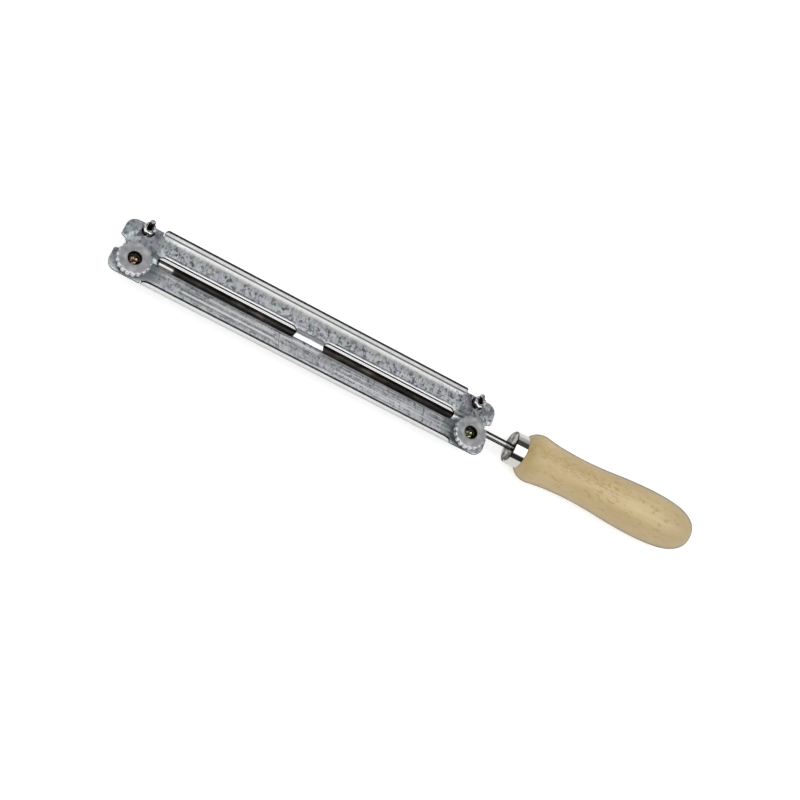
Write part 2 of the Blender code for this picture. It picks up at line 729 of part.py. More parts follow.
def add_pivot_screw(frame, material, label, end, bend):
    """A long screw up through the bar and the plate, with its rounded head below."""
    radius = PIVOT_SCREW_DIAMETER / 2
    head_top = BAR_UNDERSIDE - SEAT_GAP
    bend_start = 3 * SEAT_GAP + PIVOT_WASHER_HEIGHT + PIVOT_NUT_HEIGHT
    levels = [PIVOT_SCREW_RISE - PIVOT_SCREW_CHAMFER]
    for step in range(BEAD_STEPS, -1, -1):
        levels.append(bend_start + PIVOT_SCREW_BEND_RADIUS * PIVOT_SCREW_BEND * step / BEAD_STEPS)
    rings = [bent_ring(radius - PIVOT_SCREW_CHAMFER, PIVOT_SCREW_RISE, bend_start, bend)]
    rings += [bent_ring(radius, level, bend_start, bend) for level in levels]
    rings.append(ring(radius, head_top, ROUND_STEPS))
    rings += head_rings(PIVOT_HEAD_DIAMETER / 2, PIVOT_HEAD_HEIGHT, head_top, ROUND_STEPS)
    name = "pivot_screw_" + label
    add_piece(name, ring_mesh(name, rings, False), material, frame, (end * CLAMP_REACH, PIVOT_OFFSET, 0))


def add_file(frame, material):
    """The round file: a cut body, a shoulder and a tapering tang, from the tip at -X to the handle."""
    body_end = FILE_BODY_LENGTH
    tang_end = body_end + TANG_LENGTH
    tang_radius = TANG_DIAMETER / 2
    handle_depth = HANDLE_FRONT - FILE_TIP
    outline = [
        (0, tang_end),
        (TANG_END_DIAMETER / 2, tang_end),
        (tang_radius, handle_depth),
        (tang_radius, body_end + TANG_SHOULDER),
        (FILE_RADIUS, body_end),
        (FILE_RADIUS, FILE_TIP_CHAMFER),
        (FILE_RADIUS - FILE_TIP_CHAMFER / 2, 0),
        (0, 0),
    ]
    add_turned("round_file", outline, material, frame, (FILE_TIP, 0, FILE_AXIS), rotation=along_x())


def add_ferrule(frame, material):
    """A cap over the front of the handle, with a hole for the tang."""
    outer = FERRULE_DIAMETER / 2
    hole = TANG_DIAMETER / 2 + SEAT_GAP
    inner = outer - FERRULE_WALL
    rim = arc(outer - FERRULE_RIM_RADIUS, FERRULE_RIM_RADIUS, FERRULE_RIM_RADIUS, 0, -math.pi / 2, ARC_STEPS)
    outline = [(inner, FERRULE_LENGTH), (outer, FERRULE_LENGTH)] + rim + [
        (hole, 0), (hole, FERRULE_WALL), (inner, FERRULE_WALL)]
    add_turned("ferrule", outline, material, frame, (FERRULE_FRONT, 0, FILE_AXIS),
               steps=HANDLE_STEPS, looped=True, rotation=along_x(HANDLE_LEAN))


def smooth_line(points, steps):
    """A smooth line through points, with its slope at each point taken from the two beside it."""
    line = []
    vectors = [Vector(point) for point in points]
    for index in range(len(vectors) - 1):
        start = vectors[index]
        end = vectors[index + 1]
        before = vectors[max(index - 1, 0)]
        after = vectors[min(index + 2, len(vectors) - 1)]
        for step in range(steps):
            t = step / steps
            point = (
                start * (2 * t ** 3 - 3 * t ** 2 + 1)
                + end * (3 * t ** 2 - 2 * t ** 3)
                + (end - before) * ((t ** 3 - 2 * t ** 2 + t) / 2)
                + (after - start) * ((t ** 3 - t ** 2) / 2)
            )
            line.append(point)
    line.append(vectors[-1])
    return line


def add_handle(frame, material):
    """Turned wood: a spigot inside the ferrule, two swells with a waist between, and a bore for the tang.

    The handle sits on the tang a little askew, so its bore widens by the lean.
    """
    radius = HANDLE_DIAMETER / 2
    spigot = FERRULE_DIAMETER / 2 - FERRULE_WALL - SEAT_GAP
    spigot_front = FERRULE_WALL + SEAT_GAP - FERRULE_LENGTH
    bore = TANG_DIAMETER / 2 + SEAT_GAP
    tang_end = FILE_TIP + FILE_BODY_LENGTH + TANG_LENGTH
    bore_end = tang_end + TANG_BORE_SPARE - HANDLE_FRONT
    bore_end_radius = TANG_END_DIAMETER / 2 + SEAT_GAP + bore_end * math.tan(HANDLE_LEAN)
    outside = smooth_line(HANDLE_OUTLINE_SHARES, SPLINE_STEPS)
    outline = [(max(share, 0.0) * radius, place * HANDLE_LENGTH) for place, share in reversed(outside)]
    front_radius, _ = outline.pop()
    outline += [
        (front_radius, SEAT_GAP),
        (spigot, SEAT_GAP),
        (spigot, spigot_front),
        (bore, spigot_front),
        (bore, 0),
        (bore_end_radius, bore_end),
        (0, bore_end),
    ]
    location = (
        FERRULE_FRONT + FERRULE_LENGTH * math.cos(HANDLE_LEAN),
        FERRULE_LENGTH * math.sin(HANDLE_LEAN),
        FILE_AXIS,
    )
    add_turned("handle", outline, material, frame, location, steps=HANDLE_STEPS, rotation=along_x(HANDLE_LEAN))


def build():
    clear_scene()
    frame = make_frame()
    bright = bright_steel()
    clamp_steel = galvanised_steel()
    disc_steel = thumb_nut_steel()
    plated = yellow_zinc()
    add_guide_plate(frame, clamp_steel)
    for label, end, bend in ENDS:
        add_clamp_bar(frame, clamp_steel, label, end)
        add_clamp_screw(frame, plated, label, end)
        add_thumb_washer(frame, bright, label, end)
        add_thumb_nut(frame, disc_steel, label, end)
        add_pivot_screw(frame, bright, label, end, bend)
        add_pivot_washer(frame, bright, label, end)
        add_pivot_nut(frame, bright, label, end)
    add_file(frame, file_steel())
    add_ferrule(frame, nickel_plate())
    add_handle(frame, pale_wood())


build()
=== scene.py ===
"""Looks for the chainsaw file guide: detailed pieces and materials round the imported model.

Every piece is built in the guide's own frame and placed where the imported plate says. The frame's origin
is the middle of the plate's top face, over the file's axis. Metres, +Z up, +X towards the handle.
"""

import math

import bmesh
import bpy
from mathutils import Matrix, Vector


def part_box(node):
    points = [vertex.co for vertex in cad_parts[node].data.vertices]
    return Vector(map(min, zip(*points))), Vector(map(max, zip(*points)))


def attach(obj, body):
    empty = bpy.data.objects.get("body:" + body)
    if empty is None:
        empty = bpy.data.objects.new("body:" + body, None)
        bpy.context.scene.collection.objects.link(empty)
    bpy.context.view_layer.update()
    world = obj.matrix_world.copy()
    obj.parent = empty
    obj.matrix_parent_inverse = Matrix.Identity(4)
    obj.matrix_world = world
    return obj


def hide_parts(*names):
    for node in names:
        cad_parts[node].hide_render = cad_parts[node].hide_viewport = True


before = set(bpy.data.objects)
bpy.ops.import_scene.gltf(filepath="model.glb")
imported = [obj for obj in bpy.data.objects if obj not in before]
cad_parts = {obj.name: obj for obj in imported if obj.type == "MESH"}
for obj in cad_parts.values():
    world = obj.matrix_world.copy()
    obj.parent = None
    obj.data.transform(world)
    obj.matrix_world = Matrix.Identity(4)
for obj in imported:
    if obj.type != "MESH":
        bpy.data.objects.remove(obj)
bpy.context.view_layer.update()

# Sizes, the same as the solids'
SEAT_GAP = 0.0003
SHEET = 0.0012
PLATE_LENGTH = 0.220
EAR_WIDTH = 0.0316
CHANNEL_WIDTH = 0.0320
EAR_LENGTH = 0.0196
FLANGE_HEIGHT = 0.0044
FLANGE_BEND_RADIUS = 0.0003
FLANGE_EDGE_RADIUS = 0.0006
FAR_FLANGE_CORNER = 0.0017
NEAR_FLANGE_CORNER = 0.0040
RELIEF_WIDTH = 0.0005
RELIEF_DEPTH = 0.0019
EAR_CORNER_RADIUS = 0.0055
NOTCH_RADIUS = 0.0041
NOTCH_CORNER_RADIUS = 0.0010
SLOT_WIDTH = 0.0060
SLOT_ROLL_RADIUS = 0.0010
SLOT_INSET = 0.0223
BRIDGE_LENGTH = 0.0164
BEAD_CLEARANCE = 0.00035
BEAD_FILLET = 0.0014
FILE_RADIUS = 0.0024
FILE_AXIS = -0.00312
FILE_TIP = -0.1055
FILE_BODY_LENGTH = 0.209
FILE_TIP_CHAMFER = 0.0012
TANG_RADIUS = 0.0019
TANG_END_RADIUS = 0.0013
TANG_LENGTH = 0.070
TANG_SHOULDER = 0.004
FERRULE_FRONT = 0.1248
FERRULE_RADIUS = 0.00935
FERRULE_LENGTH = 0.0077
FERRULE_WALL = 0.0009
FERRULE_RIM_RADIUS = 0.0010
HANDLE_RADIUS = 0.01425
HANDLE_LENGTH = 0.1112
HANDLE_LEAN = math.radians(0.65)
HANDLE_BORE_OVERRUN = 0.002
CLAMP_SPACING = 0.197
CLAMP_OFFSET = 0.0076
CLAMP_SCREW_RADIUS = 0.0025
CLAMP_HEAD_RADIUS = 0.00375
CLAMP_HEAD_HEIGHT = 0.0025
CLAMP_NECK_HEIGHT = 0.0015
CLAMP_SCREW_RISE = 0.0043
CLAMP_THREAD_PITCH = 0.0008
THUMB_NUT_RADIUS = 0.0092
THUMB_NUT_TOP = 0.0066
THUMB_NUT_RIM = 0.0030
THUMB_NUT_LOBES = 18
THUMB_NUT_LOBE_DEPTH = 0.0008
THUMB_NUT_HUB_RADIUS = 0.0050
THUMB_NUT_RECESS_RADIUS = 0.0036
THUMB_NUT_RECESS_DEPTH = 0.0034
THUMB_WASHER_RADIUS = 0.00575
THUMB_WASHER_HEIGHT = 0.0008
PIVOT_OFFSET = 0.0123
PIVOT_SCREW_RADIUS = 0.00145
PIVOT_SCREW_RISE = 0.0115
PIVOT_HEAD_RADIUS = 0.0029
PIVOT_HEAD_HEIGHT = 0.0025
PIVOT_THREAD_PITCH = 0.0005
PIVOT_NUT_HALF_WIDTH = 0.0031
PIVOT_NUT_HEIGHT = 0.0030
PIVOT_WASHER_RADIUS = 0.00365
PIVOT_WASHER_HEIGHT = 0.0006
PIVOT_SCREW_BEND = math.radians(21)
PIVOT_SCREW_BEND_RADIUS = 0.0040
BAR_THICKNESS = 0.0016
BAR_WIDTH = 0.0120
BAR_DROP = 0.0032
BAR_NEAR_OVERHANG = 0.0045
BAR_FAR_OVERHANG = 0.0035
BAR_CORNER_RADIUS = 0.0030
BAR_FILLET = 0.0014

# Finer detail than the solids have
PUNCHED_EDGE = 0.00022
SMALL_EDGE = 0.00012
CLAMP_SCREW_CHAMFER = 0.0005
PUNCH_DEPTH = 0.00045
PUNCH_MIDDLE_DEPTH = 0.0007
PUNCH_DROP = 0.0001
THREAD_DEPTH_SHARE = 0.55
THUMB_NUT_EDGE = 0.00045
THUMB_NUT_SOFTENING = 0.0003
FILE_TIP_EDGE = 0.0001
TEETH_START = 0.0270
TEETH_END_GAP = 0.003
TOOTH_PITCH = 0.00055
TOOTH_DEPTH = 0.00009
TOOTH_STARTS = 6
HANDLE_TIP_RADIUS = 0.00005
HANDLE_LEAST_RADIUS = 0.0005
HANDLE_STEP = 0.0002

# How the meshes are divided, cut and smoothed
TURNED_STEPS = 96
SCREW_STEPS = 36
THREAD_ROWS = 6
FILE_STEPS = 30
TOOTH_ROWS = 3
LOBE_STEPS = 10
HEXAGON_STEPS = 16
EDGE_STEPS = 4
ARC_STEPS = 10
BEAD_STEPS = 8
ROLL_STEPS = 8
HANDLE_STEPS = 6
ROLL_END_ANGLE = math.radians(84)
SMOOTH_ANGLE = math.radians(32)
BEVEL_ANGLE = math.radians(40)
CUT_OVERRUN = 0.004
MERGE_DISTANCE = 0.000001
# A cutter's face that looks up or down by this much makes a rolled edge, and any other a cut one
ROLLED_FACE_RISE = (0.78, 0.999)

# Places worked out from the sizes
PLATE_END = PLATE_LENGTH / 2
FLANGE_END = PLATE_END - EAR_LENGTH
SLOT_MIDDLE = (PLATE_END - SLOT_INSET + BRIDGE_LENGTH / 2) / 2
SLOT_REACH = (PLATE_END - SLOT_INSET - BRIDGE_LENGTH / 2) / 2
ROLL_REACH = SLOT_WIDTH / 2 + SLOT_ROLL_RADIUS
BAR_TOP = -SHEET - BAR_DROP
BAR_UNDERSIDE = BAR_TOP - BAR_THICKNESS
CLAMP_BORE = CLAMP_SCREW_RADIUS + SEAT_GAP
PIVOT_BORE = PIVOT_SCREW_RADIUS + SEAT_GAP
ENDS = (("left", -1, 0.0), ("right", 1, PIVOT_SCREW_BEND))

plate_low, plate_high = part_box("guide_plate")
GUIDE_ORIGIN = Vector((
    (plate_low.x + plate_high.x) / 2,
    (plate_low.y + plate_high.y) / 2,
    plate_high.z - FLANGE_HEIGHT,
))


# Node helpers
def rgba(colour):
    """The four channels of a colour or of a grey level."""
    return (*colour, 1.0) if isinstance(colour, tuple) else (colour, colour, colour, 1.0)


class Tree:
    """Short calls for building a node tree. A value is a number, a colour or another node's output."""

    def __init__(self, tree):
        self.tree = tree

    def node(self, kind, settings=None, **inputs):
        made = self.tree.nodes.new("ShaderNode" + kind)
        for name, value in (settings or {}).items():
            setattr(made, name, value)
        for name, value in inputs.items():
            self.feed(made, name.replace("_", " "), value)
        return made

    def feed(self, made, name, value):
        if isinstance(value, bpy.types.NodeSocket):
            self.tree.links.new(value, made.inputs[name])
        else:
            made.inputs[name].default_value = value

    def filled(self, kind, settings, *values):
        """A node whose first inputs take the values in turn."""
        made = self.node(kind, settings)
        for index, value in enumerate(values):
            self.feed(made, index, value)
        return made

    def maths(self, operation, first, *others):
        """A Math node, or a chain of them from left to right."""
        for second in others:
            first = self.filled("Math", {"operation": operation}, first, second).outputs[0]
        return first

    def plus(self, *values):
        return self.maths("ADD", *values)

    def times(self, *values):
        return self.maths("MULTIPLY", *values)

    def most(self, *values):
        return self.maths("MAXIMUM", *values)

    def absolute(self, value):
        return self.filled("Math", {"operation": "ABSOLUTE"}, value).outputs[0]

    def vectors(self, operation, first, second, output="Vector"):
        return self.filled("VectorMath", {"operation": operation}, first, second).outputs[output]

    def spread(self, value, low, high, out_low=0.0, out_high=1.0):
        """Carries low and high over to out_low and out_high, and holds those beyond them."""
        return self.filled("MapRange", {"clamp": True}, value, low, high, out_low, out_high).outputs[0]

    def ramp(self, value, *stops):
        """Colours by value, through stops that are each a place and a colour."""
        made = self.node("ValToRGB", Fac=value)
        elements = made.color_ramp.elements
        while len(elements) < len(stops):
            elements.new(0.5)
        for element, (place, colour) in zip(elements, stops):
            element.position = place
            element.color = rgba(colour)
        return made.outputs["Color"]

    def mix(self, share, first, second, blend="MIX"):
        made = self.node("Mix", {"data_type": "RGBA", "blend_type": blend})
        self.feed(made, 0, share)
        for index, colour in ((6, first), (7, second)):
            self.feed(made, index, colour if isinstance(colour, bpy.types.NodeSocket) else rgba(colour))
        return made.outputs[2]


class Look(Tree):
    """A Principled material whose pattern follows the place on its piece."""

    def __init__(self, name, metallic=1.0):
        self.material = bpy.data.materials.new(name)
        self.material.use_nodes = True
        super().__init__(self.material.node_tree)
        self.shader = self.tree.nodes["Principled BSDF"]
        self.set("Metallic", metallic)
        self.place = self.node("TexCoord").outputs["Object"]

    def set(self, name, value):
        self.feed(self.shader, name, value)

    def axis(self, name, vector=None):
        return self.node("SeparateXYZ", Vector=self.place if vector is None else vector).outputs[name]

    def facing(self):
        return self.node("LayerWeight", Blend=0.5).outputs["Facing"]

    def noise(self, scale, detail, roughness, stretch=None, distortion=0.0):
        vector = self.vectors("MULTIPLY", self.place, stretch) if stretch else self.place
        return self.node("TexNoise", Vector=vector, Scale=scale, Detail=detail, Roughness=roughness,
                         Distortion=distortion).outputs["Fac"]

    def distance(self, x, y):
        """How far the place is from a point of the XY plane, seen along Z."""
        return self.vectors("DISTANCE", self.vectors("MULTIPLY", self.place, (1, 1, 0)), (x, y, 0), "Value")

    def layered(self, base, value, *layers, blend="MIX"):
        """Lays colours over a base, each growing to its share as value goes from low to high."""
        for low, high, share, colour in layers:
            base = self.mix(self.spread(value, low, high, 0.0, share), base, colour, blend)
        return base

    def finished(self, base, varying, roughness, height, depth, strength, span=(0.3, 0.7)):
        """Sets colour, bump and roughness, which goes from its first to its last value over the span."""
        self.set("Base Color", base)
        self.set("Roughness", self.spread(varying, *span, *roughness))
        bump = self.node("Bump", Height=height, Strength=strength, Distance=depth)
        self.set("Normal", bump.outputs["Normal"])
        return self.material


# Marks scratched or rolled into the plate's top, and lines of painted shade and painted highlight along the
# slots and over the bead, in its own plane: start, end, half width, tone
PLATE_MARKS = (
    ((-0.0163, -0.0036), (-0.0132, -0.0127), 0.00018, 0.15),
    ((-0.0150, -0.0036), (-0.0119, -0.0127), 0.00016, 0.90),
    ((0.0716, 0.0140), (0.0724, 0.0056), 0.00022, 0.15),
    ((0.0730, 0.0140), (0.0738, 0.0056), 0.00014, 0.85),
    ((0.0794, 0.0140), (0.0813, 0.0056), 0.00018, 0.90),
    ((0.0803, 0.0140), (0.0822, 0.0056), 0.00018, 0.12),
    ((0.0711, -0.0044), (0.0730, -0.0126), 0.00040, 0.22),
    ((0.0825, -0.0050), (0.0836, -0.0126), 0.00018, 0.95),
    ((-0.0841, -0.0049), (-0.0842, -0.0127), 0.00018, 0.80),
    ((-0.0380, 0.0135), (-0.0345, 0.0060), 0.00016, 0.20),
    ((-0.0720, -0.0080), (-0.0170, -0.0080), 0.00060, 0.34),
    ((-0.0720, -0.0104), (-0.0170, -0.0104), 0.00060, 0.32),
    ((-0.0560, -0.0063), (-0.0180, -0.0063), 0.00075, 0.86),
    ((-0.0700, -0.0093), (-0.0165, -0.0093), 0.00055, 0.99),
    ((0.0180, -0.0094), (0.0740, -0.0095), 0.00045, 0.96),
    # painted shade along the slots' far edges
    ((-0.0860, 0.00475), (-0.0100, 0.00475), 0.00032, 0.06),
    ((0.0100, 0.00475), (0.0860, 0.00475), 0.00032, 0.06),
    # painted shade and painted highlight across the bead over the bridge
    ((-0.0080, 0.0049), (0.0080, 0.0049), 0.00025, 0.20),
    ((-0.0080, 0.0026), (0.0080, 0.0026), 0.00045, 0.08),
    ((-0.0080, 0.0003), (0.0080, 0.0003), 0.00020, 0.25),
    ((-0.0080, -0.0030), (0.0080, -0.0030), 0.00020, 0.20),
    ((-0.0080, -0.0048), (0.0080, -0.0048), 0.00080, 0.96),
    # painted shade and a painted highlight on the bead between each slot's outer end and its thumb nut
    ((0.0882, 0.0035), (0.0965, 0.0035), 0.00030, 0.08),
    ((0.0882, 0.0021), (0.0965, 0.0021), 0.00040, 0.96),
    ((0.0882, 0.0006), (0.0965, 0.0006), 0.00035, 0.04),
    ((-0.0945, 0.0022), (-0.0882, 0.0022), 0.00060, 0.05),
    # painted shade along the slots' near edges
    ((-0.0860, -0.0045), (-0.0100, -0.0045), 0.00022, 0.22),
    ((0.0100, -0.0045), (0.0860, -0.0045), 0.00022, 0.22),
)
LIGHT_MARK_TONE = 0.5
# A mark's share over the sheet's dark and light patches
LIGHT_MARK_SHARES = (0.70, 1.0)
DARK_MARK_SHARES = (0.35, 0.90)

# A ramp over the plate is a measure of the place, where the ramp is nought and where it is one
NEAR_HALF = ("across", -0.003, -0.005)
FAR_SIDE = ("across", -0.001, 0.001)
NEAR_SIDE = ("across", 0.001, -0.001)
BETWEEN_EARS = ("from centre", FLANGE_END, FLANGE_END - 0.001)
WELL_BETWEEN_EARS = ("from centre", FLANGE_END - 0.003, FLANGE_END - 0.018)
ON_EAR = ("from centre", FLANGE_END - 0.0075, FLANGE_END - 0.003)
INSIDE_WALL = ("from wall", 0.0, 0.0005)
BESIDE_SLOT = ("from slot", SLOT_REACH, SLOT_REACH - 0.001)
# The flanges' faces are recoloured a pale grey that grows to painted highlight towards their tops, and mirror
# less on the outside
FLANGE_SHARE = 0.92
FLANGE_FACE = (("from wall", 0.0, -0.0003), BETWEEN_EARS)
FLANGE_OUTSIDE = (("from wall", -SHEET * 0.7, -SHEET * 0.9), ("up", 0.0010, 0.0030))
FLANGE_HIGHLIGHT_RISE = ("up", 0.0, 0.0025)
EAR_TINT = (0.36, 0.39, 0.46)
# Painted shadow of the thumb nuts on the plate: how far its middle sits in from the clamp screw, and the
# distances where it starts and where it is full
THUMB_NUT_SHADOW_SHIFT = 0.002
THUMB_NUT_SHADOW_REACH = (0.0165, 0.0095)
# Bands of painted shade and painted highlight on the plate: share, colour and groups of ramps, of which the
# strongest group counts
FACE_BANDS = (
    # painted shade along the far side of the slots
    (0.30, (0.30, 0.32, 0.35), (("across", 0.0074, 0.0050), FAR_SIDE, WELL_BETWEEN_EARS)),
    # painted highlight along the far flange's inner bend
    (0.92, (0.80, 0.80, 0.79), (("from wall", 0.0054, 0.0020), FAR_SIDE, WELL_BETWEEN_EARS),
     (("from wall", 0.0022, 0.0008), FAR_SIDE, BETWEEN_EARS)),
    # painted highlight along the near flange's inner bend
    (0.45, (0.92, 0.92, 0.93), (("from wall", 0.0036, 0.0006), NEAR_SIDE, WELL_BETWEEN_EARS)),
)
# Bands at the slots, the bridge, the ears and the flanges' edges, laid the same way: painted highlight and
# painted shade, and the ears' own blue tint
EDGE_BANDS = (
    # painted highlight just outside the slots' rolled edges
    (0.90, 0.72, (("from axis", ROLL_REACH + 0.0004, ROLL_REACH), BESIDE_SLOT)),
    # painted shade on the slots' near rolled edges
    (0.90, 0.03, (("across", -0.0038, -0.0034), ("across", -0.0010, -0.0020), BESIDE_SLOT)),
    # painted highlight on the bead over the bridge
    (0.80, (0.84, 0.84, 0.87), (("from centre", BRIDGE_LENGTH / 2 + 0.001, BRIDGE_LENGTH / 2 - 0.001),
                                ("across", 0.0020, 0.0014), ("across", -0.0030, -0.0024))),
    (0.30, EAR_TINT, (ON_EAR, INSIDE_WALL, ("along", 0.05, -0.05))),
    (0.10, EAR_TINT, (ON_EAR, INSIDE_WALL, ("along", -0.05, 0.05))),
    # painted shade along the far flange's top edge
    (1.00, 0.05, (("up", FLANGE_HEIGHT - 0.0003, FLANGE_HEIGHT - 0.0001), FAR_SIDE)),
    # painted shade in the inner corner of each flange's bend
    (0.85, 0.12, (("from wall", 0.0008, 0.0003), ("from wall", -0.0006, -0.0003),
                  ("from level", 0.0009, 0.0004), BETWEEN_EARS)),
)


def plate_measures(look):
    """Measures of a place on the plate, by the names that the ramps use."""
    across = look.axis("Y")
    from_axis = look.absolute(across)
    from_centre = look.absolute(look.axis("X"))
    return {
        "along": look.axis("X"),
        "across": across,
        "up": look.axis("Z"),
        "from centre": from_centre,
        "from axis": from_axis,
        "from level": look.absolute(look.axis("Z")),
        "from wall": look.maths("SUBTRACT", CHANNEL_WIDTH / 2 - SHEET, from_axis),
        "from slot": look.absolute(look.maths("SUBTRACT", from_centre, SLOT_MIDDLE)),
    }


def ramped(look, measures, *ramps):
    return look.times(*(look.spread(measures[name], nought, one) for name, nought, one in ramps))


def banded(look, base, measures, bands):
    for share, colour, *groups in bands:
        strongest = look.most(*(ramped(look, measures, *group) for group in groups))
        base = look.mix(look.times(strongest, share), base, colour)
    return base


def mark_mask(look, start, end, half_width):
    """One within half_width of the line from start to end in the XY plane, fading to nought at its sides."""
    begin = Vector((*start, 0))
    span = Vector((*end, 0)) - begin
    direction = span.normalized()
    across = Vector((-direction.y, direction.x, 0))
    offset = look.vectors("SUBTRACT", look.place, begin)
    along = look.vectors("DOT_PRODUCT", offset, direction, "Value")
    aside = look.absolute(look.vectors("DOT_PRODUCT", offset, across, "Value"))
    from_middle = look.absolute(look.maths("SUBTRACT", along, span.length / 2))
    inside = look.spread(from_middle, span.length / 2 - half_width, span.length / 2, 1.0, 0.0)
    return look.times(inside, look.spread(aside, half_width * 0.5, half_width * 1.3, 1.0, 0.0))


def zinc_pattern(look, patches, specks, near_half):
    """Mottled blue-grey crystals with lavender and green tints, fine specks and scratches."""
    crystals = look.node("TexVoronoi", {"feature": "F1"}, Vector=look.place, Scale=620.0, Randomness=1.0)
    facet = look.axis("X", crystals.outputs["Color"])
    clouds = look.noise(95.0, 2.0, 0.5)
    tone = look.plus(look.times(patches, 0.72), look.times(facet, 0.26), look.times(clouds, 0.12),
                     look.times(near_half, 0.014))
    base = look.ramp(tone, (0.42, (0.11, 0.12, 0.14)), (0.485, (0.46, 0.49, 0.53)),
                     (0.54, (0.84, 0.88, 0.92)), (0.60, 1.0))
    base = look.layered(base, look.noise(110.0, 2.0, 0.5), (0.51, 0.62, 0.9, (0.91, 0.89, 1.0)),
                        (0.49, 0.38, 0.9, (0.88, 0.99, 0.95)), blend="MULTIPLY")
    base = look.layered(base, specks, (0.56, 0.66, 0.85, (0.95, 0.97, 0.98)),
                        (0.42, 0.33, 0.55, (0.13, 0.14, 0.16)))
    scratches = look.noise(900.0, 3.0, 0.7, (1.0, 0.15, 1.0))
    return look.layered(base, scratches, (0.53, 0.63, 0.50, (0.93, 0.94, 0.98)),
                        (0.46, 0.36, 0.50, (0.20, 0.21, 0.23)))


def plate_wear_and_painted_light(look, base, measures, patches, near_half):
    """Lays streaks, marks, painted shadows round the thumb nuts, flanges painted lighter towards their tops
    and bands of painted shade and painted highlight on the zinc, and says where it is pale.
    """
    base = look.mix(look.times(near_half, 0.22), base, (0.80, 0.83, 0.87))
    streaks = look.noise(1100.0, 3.0, 0.7, (0.025, 1.0, 1.0))
    pale = look.times(near_half, look.spread(streaks, 0.52, 0.62, 0.0, 0.85))
    base = look.mix(pale, base, (0.94, 0.95, 1.0))
    dark = look.times(near_half, look.spread(streaks, 0.46, 0.36, 0.0, 0.70))
    base = look.mix(dark, base, (0.16, 0.17, 0.19))
    for start, end, half_width, tone in PLATE_MARKS:
        light = tone > LIGHT_MARK_TONE
        shares = LIGHT_MARK_SHARES if light else DARK_MARK_SHARES
        mark = look.times(mark_mask(look, start, end, half_width), look.spread(patches, 0.35, 0.6, *shares))
        base = look.mix(mark, base, (tone, tone, tone * 1.02))
        if light:
            pale = look.most(pale, mark)
    # Painted shadow of each thumb nut on the plate, dark green-grey
    for _, end, _ in ENDS:
        from_nut = look.distance(end * (CLAMP_SPACING / 2 - THUMB_NUT_SHADOW_SHIFT), -CLAMP_OFFSET)
        base = look.layered(base, from_nut, (*THUMB_NUT_SHADOW_REACH, 0.62, (0.16, 0.21, 0.20)))
    base = banded(look, base, measures, FACE_BANDS)
    on_flange = look.times(ramped(look, measures, *FLANGE_FACE), FLANGE_SHARE)
    # The flanges' grey, painted lighter towards their tops as painted highlight
    worn = look.mix(ramped(look, measures, FLANGE_HIGHLIGHT_RISE), (0.68, 0.68, 0.67), (0.99, 0.99, 0.98))
    pale = look.most(pale, look.times(on_flange, ramped(look, measures, *FLANGE_OUTSIDE)))
    return banded(look, look.mix(on_flange, base, worn), measures, EDGE_BANDS), pale


def galvanised_sheet(name, is_plate):
    """Zinc-plated sheet. The plate's also has its marks and wear, its painted shade and painted highlights,
    and mirrors less where it is pale.
    """
    look = Look(name, 0.93)
    patches = look.noise(520.0, 5.0, 0.78, (1.0, 0.7, 1.0), 1.2)
    specks = look.noise(1150.0, 3.0, 0.75)
    if is_plate:
        measures = plate_measures(look)
        near_half = ramped(look, measures, NEAR_HALF)
        zinc = zinc_pattern(look, patches, specks, near_half)
        base, pale = plate_wear_and_painted_light(look, zinc, measures, patches, near_half)
        look.set("Metallic", look.spread(pale, 0.0, 1.0, 0.93, 0.40))
    else:
        base = zinc_pattern(look, patches, specks, 0.0)
    height = look.plus(patches, look.times(specks, 0.5))
    return look.finished(base, patches, (0.46, 0.28), height, 0.00006, 0.5, (0.35, 0.65))


def sheared_steel_and_painted_shade():
    """The sheet's cut edges: sheared steel painted near-black as shade, with fine upright tearing lines."""
    look = Look("sheared_steel_and_painted_shade")
    tears = look.noise(1500.0, 2.0, 0.6, (1.0, 1.0, 0.2))
    # Near-black painted shade over the steel's own tearing lines
    base = look.ramp(tears, (0.35, 0.02), (0.6, 0.07), (0.75, (0.26, 0.26, 0.25)))
    return look.finished(base, tears, (0.5, 0.35), tears, 0.00004, 0.5)


def bright_zinc():
    look = Look("bright_zinc")
    cloud = look.noise(700.0, 3.0, 0.6)
    base = look.ramp(cloud, (0.35, 0.78), (0.65, (0.93, 0.93, 0.92)))
    return look.finished(base, cloud, (0.16, 0.28), cloud, 0.00003, 0.4)


def zinc_with_painted_light(name, dark_until, bright_from):
    """Zinc painted near-black on flanks and threads as shade and dark reflection, with a painted highlight
    where a face looks up.
    """
    look = Look(name)
    cloud = look.noise(900.0, 3.0, 0.6)
    upward = look.axis("Z", look.node("TexCoord").outputs["Normal"])
    dark = look.ramp(cloud, (0.50, 0.004), (0.62, (0.03, 0.03, 0.028)), (0.68, (0.80, 0.79, 0.76)))
    bright = look.ramp(cloud, (0.40, 0.02), (0.50, (0.92, 0.92, 0.90)))
    # Painted highlight where a face looks up, painted shade on the flanks
    look.set("Metallic", look.spread(upward, dark_until, bright_from, 1.0, 0.35))
    base = look.mix(look.spread(upward, dark_until, bright_from), dark, bright)
    return look.finished(base, cloud, (0.18, 0.34), cloud, 0.00003, 0.4)


